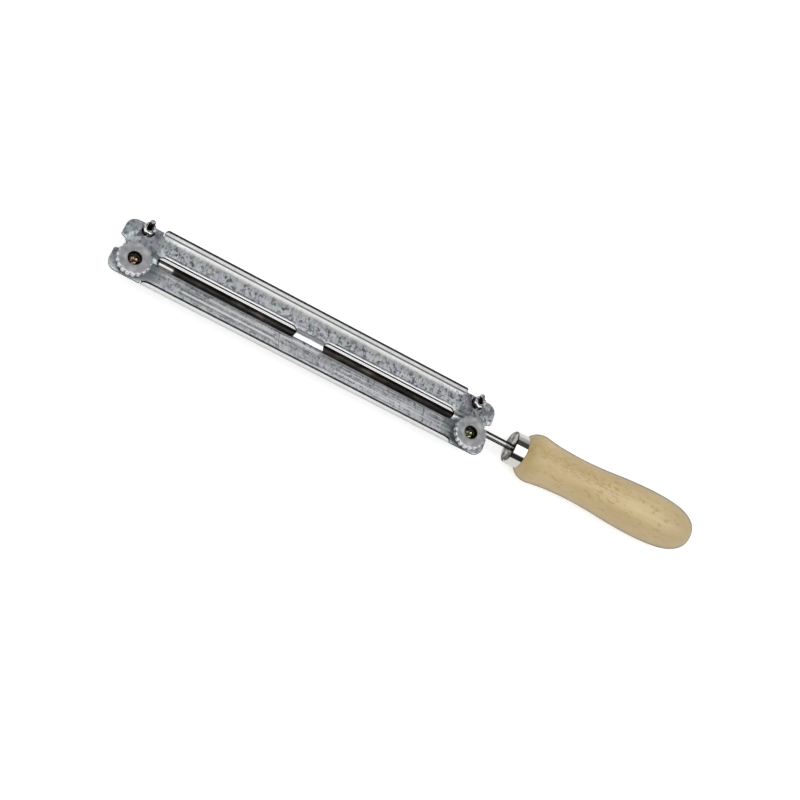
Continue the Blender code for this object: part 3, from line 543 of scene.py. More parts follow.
def satin_zinc():
    """Satin grey with faint violet and green clouds, painted highlight towards +X and on the lobes, and
    painted shade between the lobes and in the recess.
    """
    look = Look("satin_zinc")
    cloud = look.noise(210.0, 3.0, 0.6)
    grain = look.noise(1300.0, 3.0, 0.7)
    height = look.axis("Z")
    radius = look.distance(0, 0)
    base = look.ramp(cloud, (0.34, (0.50, 0.51, 0.53)), (0.5, (0.64, 0.64, 0.66)), (0.68, (0.80, 0.80, 0.82)))
    base = look.layered(base, look.noise(130.0, 2.0, 0.5), (0.50, 0.66, 0.8, (0.96, 0.93, 1.0)),
                        (0.48, 0.32, 0.8, (0.94, 1.0, 0.96)), blend="MULTIPLY")
    base = look.layered(base, grain, (0.58, 0.72, 0.5, (0.72, 0.72, 0.73)),
                        (0.40, 0.30, 0.45, (0.15, 0.15, 0.16)))
    # Painted highlight: lighter towards +X
    base = look.layered(base, look.axis("X"), (-0.002, 0.008, 0.55, (0.86, 0.86, 0.88)))
    # Painted highlight on the lobes
    base = look.layered(base, radius,
                        (THUMB_NUT_RADIUS * 0.87, THUMB_NUT_RADIUS * 0.93, 1.0, (0.76, 0.76, 0.77)))
    # Painted shade in the gaps between the lobes, below the top
    hollow = look.spread(radius, THUMB_NUT_RADIUS - THUMB_NUT_LOBE_DEPTH * 0.9,
                         THUMB_NUT_RADIUS - THUMB_NUT_LOBE_DEPTH * 0.3, 1.0, 0.0)
    below_top = look.spread(height, THUMB_NUT_TOP - 0.0006, THUMB_NUT_TOP - 0.0002, 1.0, 0.0)
    base = look.mix(look.times(hollow, below_top, 0.55), base, 0.10)
    # Painted shade in the recess, near-black with tan flecks
    recess = look.spread(radius, THUMB_NUT_RECESS_RADIUS + 0.0001, THUMB_NUT_RECESS_RADIUS + 0.00045,
                         1.0, 0.0)
    recess_shade = look.times(recess, look.spread(height, THUMB_NUT_TOP - 0.0002, THUMB_NUT_TOP, 1.0, 0.5))
    recess_shade_colour = look.ramp(grain, (0.35, (0.008, 0.009, 0.008)), (0.60, (0.045, 0.042, 0.034)),
                       (0.75, (0.30, 0.24, 0.15)))
    base = look.mix(recess_shade, base, recess_shade_colour)
    return look.finished(base, cloud, (0.34, 0.46), look.plus(grain, cloud), 0.00004, 0.45)


def yellow_zinc(name, dim, plain, worn):
    """Yellow-passivated zinc in random dark and plain patches, with pale worn spots on the punched end."""
    look = Look(name)
    cloud = look.noise(850.0, 3.0, 0.65)
    base = look.ramp(cloud, (0.42, (0.020, 0.018, 0.014)), (0.51, dim), (0.59, plain), (0.66, worn))
    return look.finished(base, cloud, (0.42, 0.24), cloud, 0.00005, 0.5)


def file_steel():
    """Near-black steel with brown-grey patches, painted darker towards its outline as shade. The end before
    the teeth and the tang are brighter, with a painted highlight down their middle, and a painted shadow band
    crosses the bare end at the left slot's outer end.
    """
    look = Look("file_steel")
    along = look.axis("X")
    facing = look.facing()
    cloud = look.noise(260.0, 4.0, 0.65, (0.35, 1.0, 1.0))
    dark = look.ramp(cloud, (0.36, (0.014, 0.013, 0.012)), (0.55, (0.036, 0.033, 0.031)),
                     (0.72, (0.095, 0.082, 0.070)))
    # Painted shade, darkening towards the outline
    dark = look.mix(look.spread(facing, 0.10, 0.55, 1.0, 0.15), 0.003, dark)
    tip = look.spread(along, FILE_TIP + TEETH_START - 0.0005, FILE_TIP + TEETH_START + 0.0005, 1.0, 0.0)
    # A painted shadow band on the bare end, at the outer end of the left slot
    from_slot_end = look.absolute(look.maths("SUBTRACT", along, SLOT_INSET - PLATE_END))
    tang = look.spread(along, FILE_TIP + FILE_BODY_LENGTH - 0.004, FILE_TIP + FILE_BODY_LENGTH)
    bright = look.most(look.times(tip, look.spread(from_slot_end, 0.0010, 0.0015)), tang)
    # Painted highlight down the middle, dark towards the outline
    polished_highlight = look.ramp(facing, (0.12, (0.42, 0.41, 0.40)), (0.30, 0.12), (0.45, 0.004))
    look.set("Specular Tint", rgba(0.05))
    base = look.mix(bright, dark, polished_highlight)
    return look.finished(base, bright, (0.42, 0.22), cloud, 0.00003, 0.4, (0.0, 1.0))


def nickel_plate():
    """Bright plating, darker in broad random spots on the cap's front at local Z nought, with a painted dark
    reflection on the upper side of its rim.
    """
    look = Look("nickel_plate")
    depth = look.axis("Z")
    cloud = look.noise(90.0, 2.0, 0.5)
    spots = look.noise(210.0, 3.0, 0.6, distortion=0.8)
    plain = look.ramp(cloud, (0.3, (0.76, 0.74, 0.71)), (0.7, (0.84, 0.82, 0.79)))
    front_spots = look.ramp(spots, (0.42, 0.04), (0.50, (0.28, 0.28, 0.25)), (0.60, (0.76, 0.76, 0.71)))
    base = look.mix(look.spread(depth, 0.0002, 0.0005, 1.0, 0.0), plain, front_spots)
    # Painted dark reflection on the rim's upper side
    rim = look.times(look.spread(depth, 0.0001, 0.0003), look.spread(depth, 0.0006, 0.0009, 1.0, 0.0))
    upper_rim_dark_reflection = look.times(rim, look.spread(look.axis("X"), -0.0040, -0.0010, 0.95, 0.0))
    return look.finished(look.mix(upper_rim_dark_reflection, base, 0.03), cloud, (0.06, 0.11), spots, 0.00002, 0.2)


def pale_wood():
    """Lacquered pale beech, grained along local Z, with short flecks and an olive ring at the ferrule,
    painted shade towards the butt, on the near side and at the outline, and a painted highlight just inside
    the outline.
    """
    look = Look("pale_wood", 0.0)
    along = look.axis("Z")
    across = look.axis("Y")
    facing = look.facing()
    grain = look.noise(520.0, 4.0, 0.6, (1.0, 1.0, 0.07))
    figure = look.noise(60.0, 3.0, 0.55, (1.0, 1.0, 0.30))
    flecks = look.noise(520.0, 2.0, 0.6, (1.0, 1.0, 0.42))
    pores = look.noise(1500.0, 2.0, 0.6, (1.0, 1.0, 0.10))
    rays = look.noise(900.0, 2.0, 0.6, (1.0, 1.0, 0.45))
    base = look.ramp(figure, (0.34, (0.575, 0.425, 0.210)), (0.5, (0.665, 0.510, 0.265)),
                     (0.66, (0.72, 0.56, 0.305)))
    base = look.layered(base, grain, (0.48, 0.68, 0.40, (0.50, 0.36, 0.17)))
    base = look.layered(base, flecks, (0.58, 0.65, 0.70, (0.43, 0.29, 0.10)),
                        (0.37, 0.32, 0.35, (0.76, 0.61, 0.34)))
    base = look.layered(base, pores, (0.60, 0.75, 0.35, (0.38, 0.26, 0.12)))
    rough = look.times(
        look.spread(look.axis("X"), -0.004, -0.008),
        look.spread(look.absolute(across), 0.0028, 0.0048, 1.0, 0.0),
        look.spread(along, HANDLE_LENGTH * 0.50, HANDLE_LENGTH * 0.58, 1.0, 0.0),
        look.spread(rays, 0.50, 0.60, 0.0, 0.80),
    )
    base = look.mix(rough, base, (0.45, 0.30, 0.12))
    # An olive ring at the ferrule, and painted shade towards the butt
    base = look.layered(base, along, (0.0105, 0.0045, 0.50, (0.55, 0.42, 0.14)),
                        (HANDLE_LENGTH * 0.72, HANDLE_LENGTH, 0.80, (0.36, 0.28, 0.15)))
    # Painted shade on the near side
    base = look.layered(base, across, (-0.0030, -0.0110, 0.30, (0.42, 0.31, 0.15)))
    # Painted highlight towards the outline
    base = look.mix(look.spread(facing, 0.05, 0.50, 0.12, 0.42), base, (0.83, 0.66, 0.39))
    # Painted shade at the outline
    base = look.layered(base, facing, (0.62, 0.82, 0.80, (0.17, 0.13, 0.08)))
    look.set("Coat Weight", 0.15)
    look.set("Coat Roughness", 0.3)
    return look.finished(base, grain, (0.38, 0.54), look.plus(grain, flecks), 0.00006, 0.5)


# Mesh helpers
def smoothed(mesh):
    mesh.shade_smooth()
    mesh.set_sharp_from_angle(angle=SMOOTH_ANGLE)
    return mesh


def finish_mesh(bm, name):
    bmesh.ops.remove_doubles(bm, verts=bm.verts, dist=MERGE_DISTANCE)
    bmesh.ops.recalc_face_normals(bm, faces=bm.faces)
    mesh = bpy.data.meshes.new(name)
    bm.to_mesh(mesh)
    bm.free()
    return smoothed(mesh)


def add_rings(bm, rings, looped):
    """Adds a skin over rings of equal point count, closed at its ends or on itself."""
    loops = [[bm.verts.new(point) for point in ring_points] for ring_points in rings]
    count = len(loops[0])
    pairs = list(zip(loops, loops[1:]))
    if looped:
        pairs.append((loops[-1], loops[0]))
    else:
        bm.faces.new(loops[0])
        bm.faces.new(loops[-1])
    for upper, lower in pairs:
        for index in range(count):
            after = (index + 1) % count
            bm.faces.new((upper[index], upper[after], lower[after], lower[index]))


def skin(name, rings, looped=False):
    bm = bmesh.new()
    add_rings(bm, rings, looped)
    return finish_mesh(bm, name)


def ring(radius, height, count):
    """A ring of points about Z; radius and height are numbers or functions of the angle."""
    points = []
    for index in range(count):
        angle = 2 * math.pi * index / count
        reach = radius(angle) if callable(radius) else radius
        level = height(angle) if callable(height) else height
        points.append((reach * math.cos(angle), reach * math.sin(angle), level))
    return points


def arc(centre_a, centre_b, radius, start, end, steps):
    points = []
    for step in range(steps + 1):
        angle = start + (end - start) * step / steps
        points.append((centre_a + radius * math.cos(angle), centre_b + radius * math.sin(angle)))
    return points


def soften(points, radius, steps=3, looped=False):
    """Rounds the corners of a line of 2-D points."""
    count = len(points)
    line = []
    for index, point in enumerate(points):
        if not looped and index in (0, count - 1):
            line.append(tuple(point))
            continue
        here = Vector(point)
        before = Vector(points[index - 1]) - here
        after = Vector(points[(index + 1) % count]) - here
        reach = min(radius, before.length / 2.2, after.length / 2.2)
        start = here + before.normalized() * reach
        end = here + after.normalized() * reach
        for step in range(steps + 1):
            t = step / steps
            line.append(tuple(start * (1 - t) ** 2 + here * (2 * t * (1 - t)) + end * t ** 2))
    return line


def turned(name, outline, looped=False):
    return skin(name, [ring(radius, height, TURNED_STEPS) for radius, height in outline], looped)


def add_piece(name, mesh, materials, body, node, location=(0, 0, 0), rotation=(0, 0, 0)):
    """Places a piece in the guide's frame, rides it on its body and lets it stand for its CAD node."""
    for material in materials[len(mesh.materials):]:
        mesh.materials.append(material)
    piece = bpy.data.objects.new(name, mesh)
    piece.location = GUIDE_ORIGIN + Vector(location)
    piece.rotation_euler = rotation
    bpy.context.scene.collection.objects.link(piece)
    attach(piece, body)
    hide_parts(node)


def polygon_radius(half_width, sides, turn_angle=0.0):
    sector = 2 * math.pi / sides

    def reach(angle):
        offset = (angle - turn_angle + sector / 2) % sector - sector / 2
        return half_width / math.cos(offset)

    return reach


def add_prism(bm, outline, low, high):
    base = bm.faces.new([bm.verts.new((x, y, low)) for x, y in outline])
    grown = bmesh.ops.extrude_face_region(bm, geom=[base])
    lifted = [item for item in grown["geom"] if isinstance(item, bmesh.types.BMVert)]
    bmesh.ops.translate(bm, verts=lifted, vec=(0, 0, high - low))


def cut_and_round(mesh, cutter_mesh, materials):
    """Cuts a blank and rounds its edges; the walls of a cut take the second material."""
    for item in (mesh, cutter_mesh):
        for material in materials:
            item.materials.append(material)
    least, most = ROLLED_FACE_RISE
    for polygon in cutter_mesh.polygons:
        polygon.material_index = 0 if least < abs(polygon.normal.z) < most else 1
    blank = bpy.data.objects.new("blank", mesh)
    cutter = bpy.data.objects.new("cutter", cutter_mesh)
    for item in (blank, cutter):
        bpy.context.scene.collection.objects.link(item)
    boolean = blank.modifiers.new("cut", "BOOLEAN")
    boolean.operation = "DIFFERENCE"
    boolean.solver = "EXACT"
    boolean.object = cutter
    bevel = blank.modifiers.new("round", "BEVEL")
    bevel.width = PUNCHED_EDGE
    bevel.segments = 3
    bevel.limit_method = "ANGLE"
    bevel.angle_limit = BEVEL_ANGLE
    bevel.use_clamp_overlap = False
    bevel.harden_normals = False
    bpy.context.view_layer.update()
    evaluated = blank.evaluated_get(bpy.context.evaluated_depsgraph_get())
    finished = bpy.data.meshes.new_from_object(evaluated)
    finished.name = mesh.name + "_cut"
    for item in (blank, cutter):
        bpy.data.objects.remove(item, do_unlink=True)
    return smoothed(finished)


# Outlines
def circle_outline(x, y, radius):
    return arc(x, y, radius, 0, 2 * math.pi, 4 * ARC_STEPS)[:-1]


def square_outline(x, y, half_side):
    return [(x + a * half_side, y + b * half_side) for a, b in ((-1, -1), (1, -1), (1, 1), (-1, 1))]


def slot_outline(start, end, half_width):
    right = arc(end - half_width, 0, half_width, -math.pi / 2, math.pi / 2, 2 * ARC_STEPS)
    left = arc(start + half_width, 0, half_width, math.pi / 2, 3 * math.pi / 2, 2 * ARC_STEPS)
    return right + left


def notch_outline(x, side):
    """A round notch in a plate's end, with rounded corners."""
    corner = NOTCH_CORNER_RADIUS
    corner_x = x - side * corner
    corner_y = math.sqrt((NOTCH_RADIUS + corner) ** 2 - corner ** 2)
    meet = math.atan2(corner_y, corner)
    upper = [(corner_x + side * a, corner_y - b) for a, b in arc(0, 0, corner, 0, meet, ARC_STEPS)]
    bottom = [(x - side * a, b) for a, b in arc(0, 0, NOTCH_RADIUS, meet, -meet, 2 * ARC_STEPS)]
    lower = [(a, -b) for a, b in reversed(upper)]
    outside_x = x + side * CUT_OVERRUN
    return [(outside_x, corner_y)] + upper + bottom[1:-1] + lower + [(outside_x, -corner_y)]


def corner_outline(x, y, radius, side_x, side_y):
    """What a rounded corner leaves over of a square one."""
    centre_x = x - side_x * radius
    centre_y = y - side_y * radius
    quarter = arc(0, 0, radius, 0, math.pi / 2, ARC_STEPS)
    round_edge = [(centre_x + side_x * a, centre_y + side_y * b) for a, b in quarter]
    outside_x = x + side_x * CUT_OVERRUN
    outside_y = y + side_y * CUT_OVERRUN
    return round_edge + [(centre_x, outside_y), (outside_x, outside_y), (outside_x, centre_y)]


# Sheet work
def bead_half(axis_offset, radius, fillet):
    """Half of a round bead in a sheet's middle line, from its crest outwards: (y, rise, lean)."""
    lean_end = math.acos((axis_offset + fillet) / (radius + fillet))
    foot = (radius + fillet) * math.sin(lean_end)
    points = []
    for step in range(BEAD_STEPS + 1):
        lean = lean_end * step / BEAD_STEPS
        points.append((radius * math.sin(lean), radius * math.cos(lean) - axis_offset, lean))
    for step in range(1, BEAD_STEPS + 1):
        lean = lean_end * (1 - step / BEAD_STEPS)
        points.append((foot - fillet * math.sin(lean), fillet - fillet * math.cos(lean), lean))
    return points


def plate_core_half():
    middle = -SHEET / 2
    crest_radius = FILE_RADIUS + BEAD_CLEARANCE + SHEET / 2
    bead = bead_half(middle - FILE_AXIS, crest_radius, BEAD_FILLET)
    return [(y, middle + rise, lean) for y, rise, lean in bead] + [(EAR_WIDTH / 2 - RELIEF_DEPTH, middle, 0)]


def flange_sides(side):
    """The square bend and the upright flange beyond the core: pairs of inner and outer points, as (y, z)."""
    quarter = (-math.pi / 2, 0, ARC_STEPS)
    wall = CHANNEL_WIDTH / 2
    inner = arc(wall - SHEET - FLANGE_BEND_RADIUS, FLANGE_BEND_RADIUS, FLANGE_BEND_RADIUS, *quarter)
    outer = arc(wall - FLANGE_EDGE_RADIUS, FLANGE_EDGE_RADIUS - SHEET, FLANGE_EDGE_RADIUS, *quarter)
    for step in range(1, ARC_STEPS + 1):
        height = FLANGE_BEND_RADIUS + (FLANGE_HEIGHT - FLANGE_BEND_RADIUS) * step / ARC_STEPS
        inner.append((wall - SHEET, height))
        outer.append((wall, height))
    return [((side * a, b), (side * c, d)) for (a, b), (c, d) in zip(inner, outer)]


def sheet_sides(point, side, thickness):
    y, z, lean = point
    offset_y = math.sin(lean) * thickness / 2
    offset_z = math.cos(lean) * thickness / 2
    return (side * (y + offset_y), z + offset_z), (side * (y - offset_y), z - offset_z)


def section_sides(near, far, thickness):
    """The upper and lower sides of a section, from its near edge to its far one."""
    sides = [sheet_sides(point, -1, thickness) for point in reversed(near)]
    return sides + [sheet_sides(point, 1, thickness) for point in far[1:]]


def flange_end(z, corner):
    share = min(max(z / FLANGE_HEIGHT, 0.0), 1.0)
    return FLANGE_END - corner * (1 - math.sqrt(1 - share * share))


def add_strip(bm, stations):
    """Adds a strip of sheet with both ends capped; a station is a pair of rows, upper and lower."""
    for (upper_a, lower_a), (upper_b, lower_b) in zip(stations, stations[1:]):
        for index in range(len(upper_a) - 1):
            bm.faces.new((upper_a[index], upper_a[index + 1], upper_b[index + 1], upper_b[index]))
            bm.faces.new((lower_a[index], lower_b[index], lower_b[index + 1], lower_a[index + 1]))
    for upper, lower in (stations[0], stations[-1]):
        for index in range(len(upper) - 1):
            face = bm.faces.new((upper[index], upper[index + 1], lower[index + 1], lower[index]))
            face.material_index = 1


def add_edge_wall(bm, stations, index):
    for (upper_a, lower_a), (upper_b, lower_b) in zip(stations, stations[1:]):
        face = bm.faces.new((upper_a[index], upper_b[index], lower_b[index], lower_a[index]))
        face.material_index = 1


def section_row(bm, sides, x_at):
    """The upper and lower points of a section; x_at gives their X, as a number or from their height."""
    place = x_at if callable(x_at) else lambda z: x_at
    upper = [bm.verts.new((place(top[1]), *top)) for top, _ in sides]
    lower = [bm.verts.new((place(bottom[1]), *bottom)) for _, bottom in sides]
    return upper, lower


def grown_row(bm, station, index, sides, x_at):
    """A row that starts at one edge of a station and goes on over sides."""
    upper, lower = section_row(bm, sides, x_at)
    return [station[0][index]] + upper, [station[1][index]] + lower


def plate_blank():
    """The plate's core with its bead, two flanges between the ears and the ears' outer strips."""
    bm = bmesh.new()
    half = plate_core_half()
    core = section_sides(half, half, SHEET)
    ear_x = FLANGE_END + RELIEF_WIDTH
    places = (-PLATE_END, -ear_x, -FLANGE_END, FLANGE_END, ear_x, PLATE_END)
    stations = [section_row(bm, core, x) for x in places]
    add_strip(bm, stations)
    for side, index, corner in ((-1, 0, NEAR_FLANGE_CORNER), (1, -1, FAR_FLANGE_CORNER)):
        flange = flange_sides(side)
        ear = [((side * EAR_WIDTH / 2, 0.0), (side * EAR_WIDTH / 2, -SHEET))]
        strips = [[
            grown_row(bm, stations[place], index, flange, lambda z, e=end, c=corner: e * flange_end(z, c))
            for end, place in ((-1, 2), (1, 3))
        ]]
        for pair in ((0, 1), (4, 5)):
            strips.append([grown_row(bm, stations[place], index, ear, places[place]) for place in pair])
        for rows in strips:
            add_strip(bm, rows)
            add_edge_wall(bm, rows, -1)
        add_edge_wall(bm, stations[1:3], index)
        add_edge_wall(bm, stations[3:5], index)
    return finish_mesh(bm, "guide_plate_blank")


def add_slot_cutter(bm, start, end):
    """A slot with its long upper edges rolled over. The cutter flares there and rises clear of the bead."""
    levels = [(0, -SHEET - CUT_OVERRUN)]
    for step in range(ROLL_STEPS + 1):
        angle = ROLL_END_ANGLE * step / ROLL_STEPS
        levels.append((SLOT_ROLL_RADIUS * (1 - math.cos(angle)), SLOT_ROLL_RADIUS * (math.sin(angle) - 1)))
    spread, height = levels[-1]
    widest = spread + SHEET * math.sin(ROLL_END_ANGLE)
    levels += [(widest, height + SHEET * math.cos(ROLL_END_ANGLE)), (widest, CUT_OVERRUN)]
    add_rings(bm, [[(x, y, height) for x, y in slot_outline(start, end, SLOT_WIDTH / 2 + spread)]
                   for spread, height in levels], False)


def plate_cutters():
    bm = bmesh.new()
    outlines = []
    for _, end, _ in ENDS:
        add_slot_cutter(bm, *sorted((end * BRIDGE_LENGTH / 2, end * (PLATE_END - SLOT_INSET))))
        outlines.append(notch_outline(end * PLATE_END, end))
        screw_x = end * CLAMP_SPACING / 2
        outlines.append(circle_outline(screw_x, -CLAMP_OFFSET, CLAMP_BORE))
        outlines.append(circle_outline(screw_x, PIVOT_OFFSET, PIVOT_BORE))
        for side in (-1, 1):
            corner = (end * PLATE_END, side * EAR_WIDTH / 2)
            outlines.append(corner_outline(*corner, EAR_CORNER_RADIUS, end, side))
    for outline in outlines:
        add_prism(bm, outline, -SHEET - CUT_OVERRUN, CUT_OVERRUN)
    return finish_mesh(bm, "plate_cutters")


def make_guide_plate(materials):
    mesh = cut_and_round(plate_blank(), plate_cutters(), materials)
    add_piece("channel_plate", mesh, materials, "guide", "guide_plate")


def make_clamp_bar(materials, label, end):
    middle = BAR_TOP - BAR_THICKNESS / 2
    trough_radius = FILE_RADIUS + SEAT_GAP + BAR_THICKNESS / 2
    bead = bead_half(FILE_AXIS - middle, trough_radius, BAR_FILLET)
    trough = [(y, middle - rise, -lean) for y, rise, lean in bead]
    near_y = CLAMP_OFFSET + BAR_NEAR_OVERHANG
    far_y = PIVOT_OFFSET + BAR_FAR_OVERHANG
    section = section_sides(trough + [(near_y, middle, 0)], trough + [(far_y, middle, 0)], BAR_THICKNESS)
    bm = bmesh.new()
    stations = [section_row(bm, section, side * BAR_WIDTH / 2) for side in (-1, 1)]
    add_strip(bm, stations)
    add_edge_wall(bm, stations, 0)
    add_edge_wall(bm, stations, -1)
    blank = finish_mesh(bm, "bar_blank_" + label)
    bm = bmesh.new()
    outlines = [
        square_outline(0, -CLAMP_OFFSET, CLAMP_BORE),
        circle_outline(0, PIVOT_OFFSET, PIVOT_BORE),
    ]
    for side in (-1, 1):
        outlines.append(corner_outline(side * BAR_WIDTH / 2, -near_y, BAR_CORNER_RADIUS, side, -1))
        outlines.append(corner_outline(side * BAR_WIDTH / 2, far_y, BAR_CORNER_RADIUS, side, 1))
    for outline in outlines:
        add_prism(bm, outline, BAR_UNDERSIDE - CUT_OVERRUN, BAR_TOP + CUT_OVERRUN)
    mesh = cut_and_round(blank, finish_mesh(bm, "bar_cutters_" + label), materials)
    node = "clamp_bar_" + label
    place = (end * CLAMP_SPACING / 2, 0, 0)
    add_piece("swing_bar_" + label, mesh, materials, node, node, place)


# Screws, nuts and washers
def clamp_place(end):
    return end * CLAMP_SPACING / 2, -CLAMP_OFFSET, 0


def pivot_place(end):
    return end * CLAMP_SPACING / 2, PIVOT_OFFSET, 0


def threaded_rings(radius, pitch, low, high, warp=None):
    """Rings of a screw thread from high to low; warp moves a point made about Z."""
    depth = pitch * THREAD_DEPTH_SHARE
    rows = max(2, round((high - low) / pitch * THREAD_ROWS))
    rings = []
    for row in range(rows + 1):
        level = high - (high - low) * row / rows
        fade = min(1.0, (level - low) / pitch, (high - level) / pitch * 2 + 0.3)

        def reach(angle, level=level, fade=fade):
            turn = (level / pitch - angle / (2 * math.pi)) % 1.0
            return radius - depth * max(fade, 0.0) * abs(2 * turn - 1)

        points = ring(reach, level, SCREW_STEPS)
        rings.append([warp(point) for point in points] if warp else points)
    return rings


def domed_head(radius, height, top, steps=6):
    """Rings of a round head below the level top, from its flat upper face down."""
    edge = radius * 0.06
    rings = [ring(radius - edge, top, SCREW_STEPS), ring(radius, top - edge, SCREW_STEPS)]
    for step in range(1, steps):
        angle = math.pi / 2 * step / steps
        level = top - edge - (height - edge) * math.sin(angle)
        rings.append(ring(radius * math.cos(angle), level, SCREW_STEPS))
    return rings


def make_clamp_screw(material, label, end):
    """Square neck, domed head and a thread whose end is spread by a cross-shaped punch."""
    head_top = BAR_UNDERSIDE - SEAT_GAP
    neck_top = head_top + CLAMP_NECK_HEIGHT
    neck = polygon_radius(CLAMP_SCREW_RADIUS, 4)
    radius = CLAMP_SCREW_RADIUS

    def punched(drop):
        return lambda angle: CLAMP_SCREW_RISE - drop - PUNCH_DEPTH * abs(math.cos(2 * angle)) ** 6

    sizes = (
        (radius * 0.10, CLAMP_SCREW_RISE - PUNCH_MIDDLE_DEPTH),
        (radius * 0.34, punched(PUNCH_DROP * 2)),
        (radius * 0.62, punched(0)),
        (lambda angle: radius * (0.80 + 0.05 * math.cos(3 * angle + end)), punched(PUNCH_DROP)),
    )
    rings = [ring(reach, height, SCREW_STEPS) for reach, height in sizes]
    rings += threaded_rings(radius, CLAMP_THREAD_PITCH, neck_top, CLAMP_SCREW_RISE - CLAMP_SCREW_CHAMFER)
    rings += [ring(neck, neck_top, SCREW_STEPS), ring(neck, head_top, SCREW_STEPS)]
    rings += domed_head(CLAMP_HEAD_RADIUS, CLAMP_HEAD_HEIGHT, head_top)
    name = "coach_screw_" + label
    node = "clamp_screw_" + label
    add_piece(name, skin(name, rings), [material], node, node, clamp_place(end))


def lobed(radius):
    def reach(angle):
        wave = abs(math.cos(THUMB_NUT_LOBES / 2 * (angle + math.pi / 2)))
        return radius - THUMB_NUT_LOBE_DEPTH * (1 - wave)

    return reach


def make_thumb_nut(material, label, end):
    count = THUMB_NUT_LOBES * LOBE_STEPS
    rim_bottom = THUMB_NUT_TOP - THUMB_NUT_RIM
    hub_bottom = 2 * SEAT_GAP + THUMB_WASHER_HEIGHT
    floor = THUMB_NUT_TOP - THUMB_NUT_RECESS_DEPTH
    edge = THUMB_NUT_EDGE
    face_radius = THUMB_NUT_RADIUS * 0.85
    steps = range(EDGE_STEPS + 1)
    rings = []
    for level, inwards, order in ((THUMB_NUT_TOP, -edge, steps), (rim_bottom, edge, reversed(steps))):
        for step in order:
            angle = math.pi / 2 * step / EDGE_STEPS
            radius = lobed(THUMB_NUT_RADIUS - edge * (1 - math.sin(angle)))
            rings.append(ring(radius, level + inwards * (1 - math.cos(angle)), count))
    inside = soften([
        (face_radius, rim_bottom),
        (THUMB_NUT_HUB_RADIUS, rim_bottom),
        (THUMB_NUT_HUB_RADIUS, hub_bottom),
        (CLAMP_BORE, hub_bottom),
        (CLAMP_BORE, floor),
        (THUMB_NUT_RECESS_RADIUS, floor),
        (THUMB_NUT_RECESS_RADIUS, THUMB_NUT_TOP),
        (THUMB_NUT_RECESS_RADIUS + edge * 1.5, THUMB_NUT_TOP),
        (face_radius, THUMB_NUT_TOP),
    ], THUMB_NUT_SOFTENING)
    rings += [ring(radius, height, count) for radius, height in inside]
    name = "knurled_disc_" + label
    node = "thumb_nut_" + label
    add_piece(name, skin(name, rings, True), [material], node, node, clamp_place(end))


def make_washer(name, material, node, outer, inner, height, place):
    outline = [(outer, SEAT_GAP + height), (outer, SEAT_GAP), (inner, SEAT_GAP), (inner, SEAT_GAP + height)]
    mesh = turned(name, soften(outline, SMALL_EDGE * 2, looped=True), looped=True)
    add_piece(name, mesh, [material], "guide", node, place)


def make_pivot_nut(material, label, end):
    count = 6 * HEXAGON_STEPS
    low = 2 * SEAT_GAP + PIVOT_WASHER_HEIGHT
    high = low + PIVOT_NUT_HEIGHT
    bore = PIVOT_SCREW_RADIUS + SEAT_GAP / 3
    lead = PIVOT_THREAD_PITCH / 2
    face_radius = PIVOT_NUT_HALF_WIDTH * 0.97
    hexagon = polygon_radius(PIVOT_NUT_HALF_WIDTH, 6, math.pi / 2 if end < 0 else math.pi / 2 + math.pi / 6)
    slope = math.tan(math.radians(30))
    dip = SEAT_GAP / 2

    def chamfered(level, direction):
        return lambda angle: level - direction * (hexagon(angle) - PIVOT_NUT_HALF_WIDTH + dip) * slope

    sizes = (
        (face_radius, high),
        (PIVOT_NUT_HALF_WIDTH, high - SMALL_EDGE / 3),
        (hexagon, chamfered(high, 1)),
        (hexagon, chamfered(low, -1)),
        (PIVOT_NUT_HALF_WIDTH, low + SMALL_EDGE / 3),
        (face_radius, low),
        (bore + lead, low),
        (bore, low + lead),
        (bore, high - lead),
        (bore + lead, high),
    )
    name = "hex_nut_" + label
    rings = [ring(radius, height, count) for radius, height in sizes]
    add_piece(name, skin(name, rings, True), [material], "guide", "pivot_nut_" + label,
              pivot_place(end))


def make_pivot_screw(material, label, end, bend):
    bend_start = 3 * SEAT_GAP + PIVOT_WASHER_HEIGHT + PIVOT_NUT_HEIGHT

    def warp(point):
        """Bends the shank towards -X above its nut."""
        past = max(point[2] - bend_start, 0.0)
        angle = min(past / PIVOT_SCREW_BEND_RADIUS, bend)
        straight = past - angle * PIVOT_SCREW_BEND_RADIUS
        across = -PIVOT_SCREW_BEND_RADIUS * (1 - math.cos(angle)) - straight * math.sin(angle)
        up = PIVOT_SCREW_BEND_RADIUS * math.sin(angle) + straight * math.cos(angle)
        centre = Vector((across, 0, min(point[2], bend_start) + up))
        return tuple(centre + Matrix.Rotation(-angle, 3, "Y") @ Vector((point[0], point[1], 0)))

    head_top = BAR_UNDERSIDE - SEAT_GAP
    chamfer = PIVOT_SCREW_RADIUS * 0.25
    top = PIVOT_SCREW_RISE
    rings = [
        [warp(point) for point in ring(PIVOT_SCREW_RADIUS - chamfer * 1.2, top, SCREW_STEPS)],
        [warp(point) for point in ring(PIVOT_SCREW_RADIUS - chamfer, top - chamfer * 0.2, SCREW_STEPS)],
    ]
    rings += threaded_rings(PIVOT_SCREW_RADIUS, PIVOT_THREAD_PITCH, head_top + BAR_THICKNESS,
                            top - chamfer, warp)
    rings.append(ring(PIVOT_SCREW_RADIUS, head_top, SCREW_STEPS))
    rings += domed_head(PIVOT_HEAD_RADIUS, PIVOT_HEAD_HEIGHT, head_top)
    name = "long_screw_" + label
    add_piece(name, skin(name, rings), [material], "guide", "pivot_screw_" + label,
              pivot_place(end))


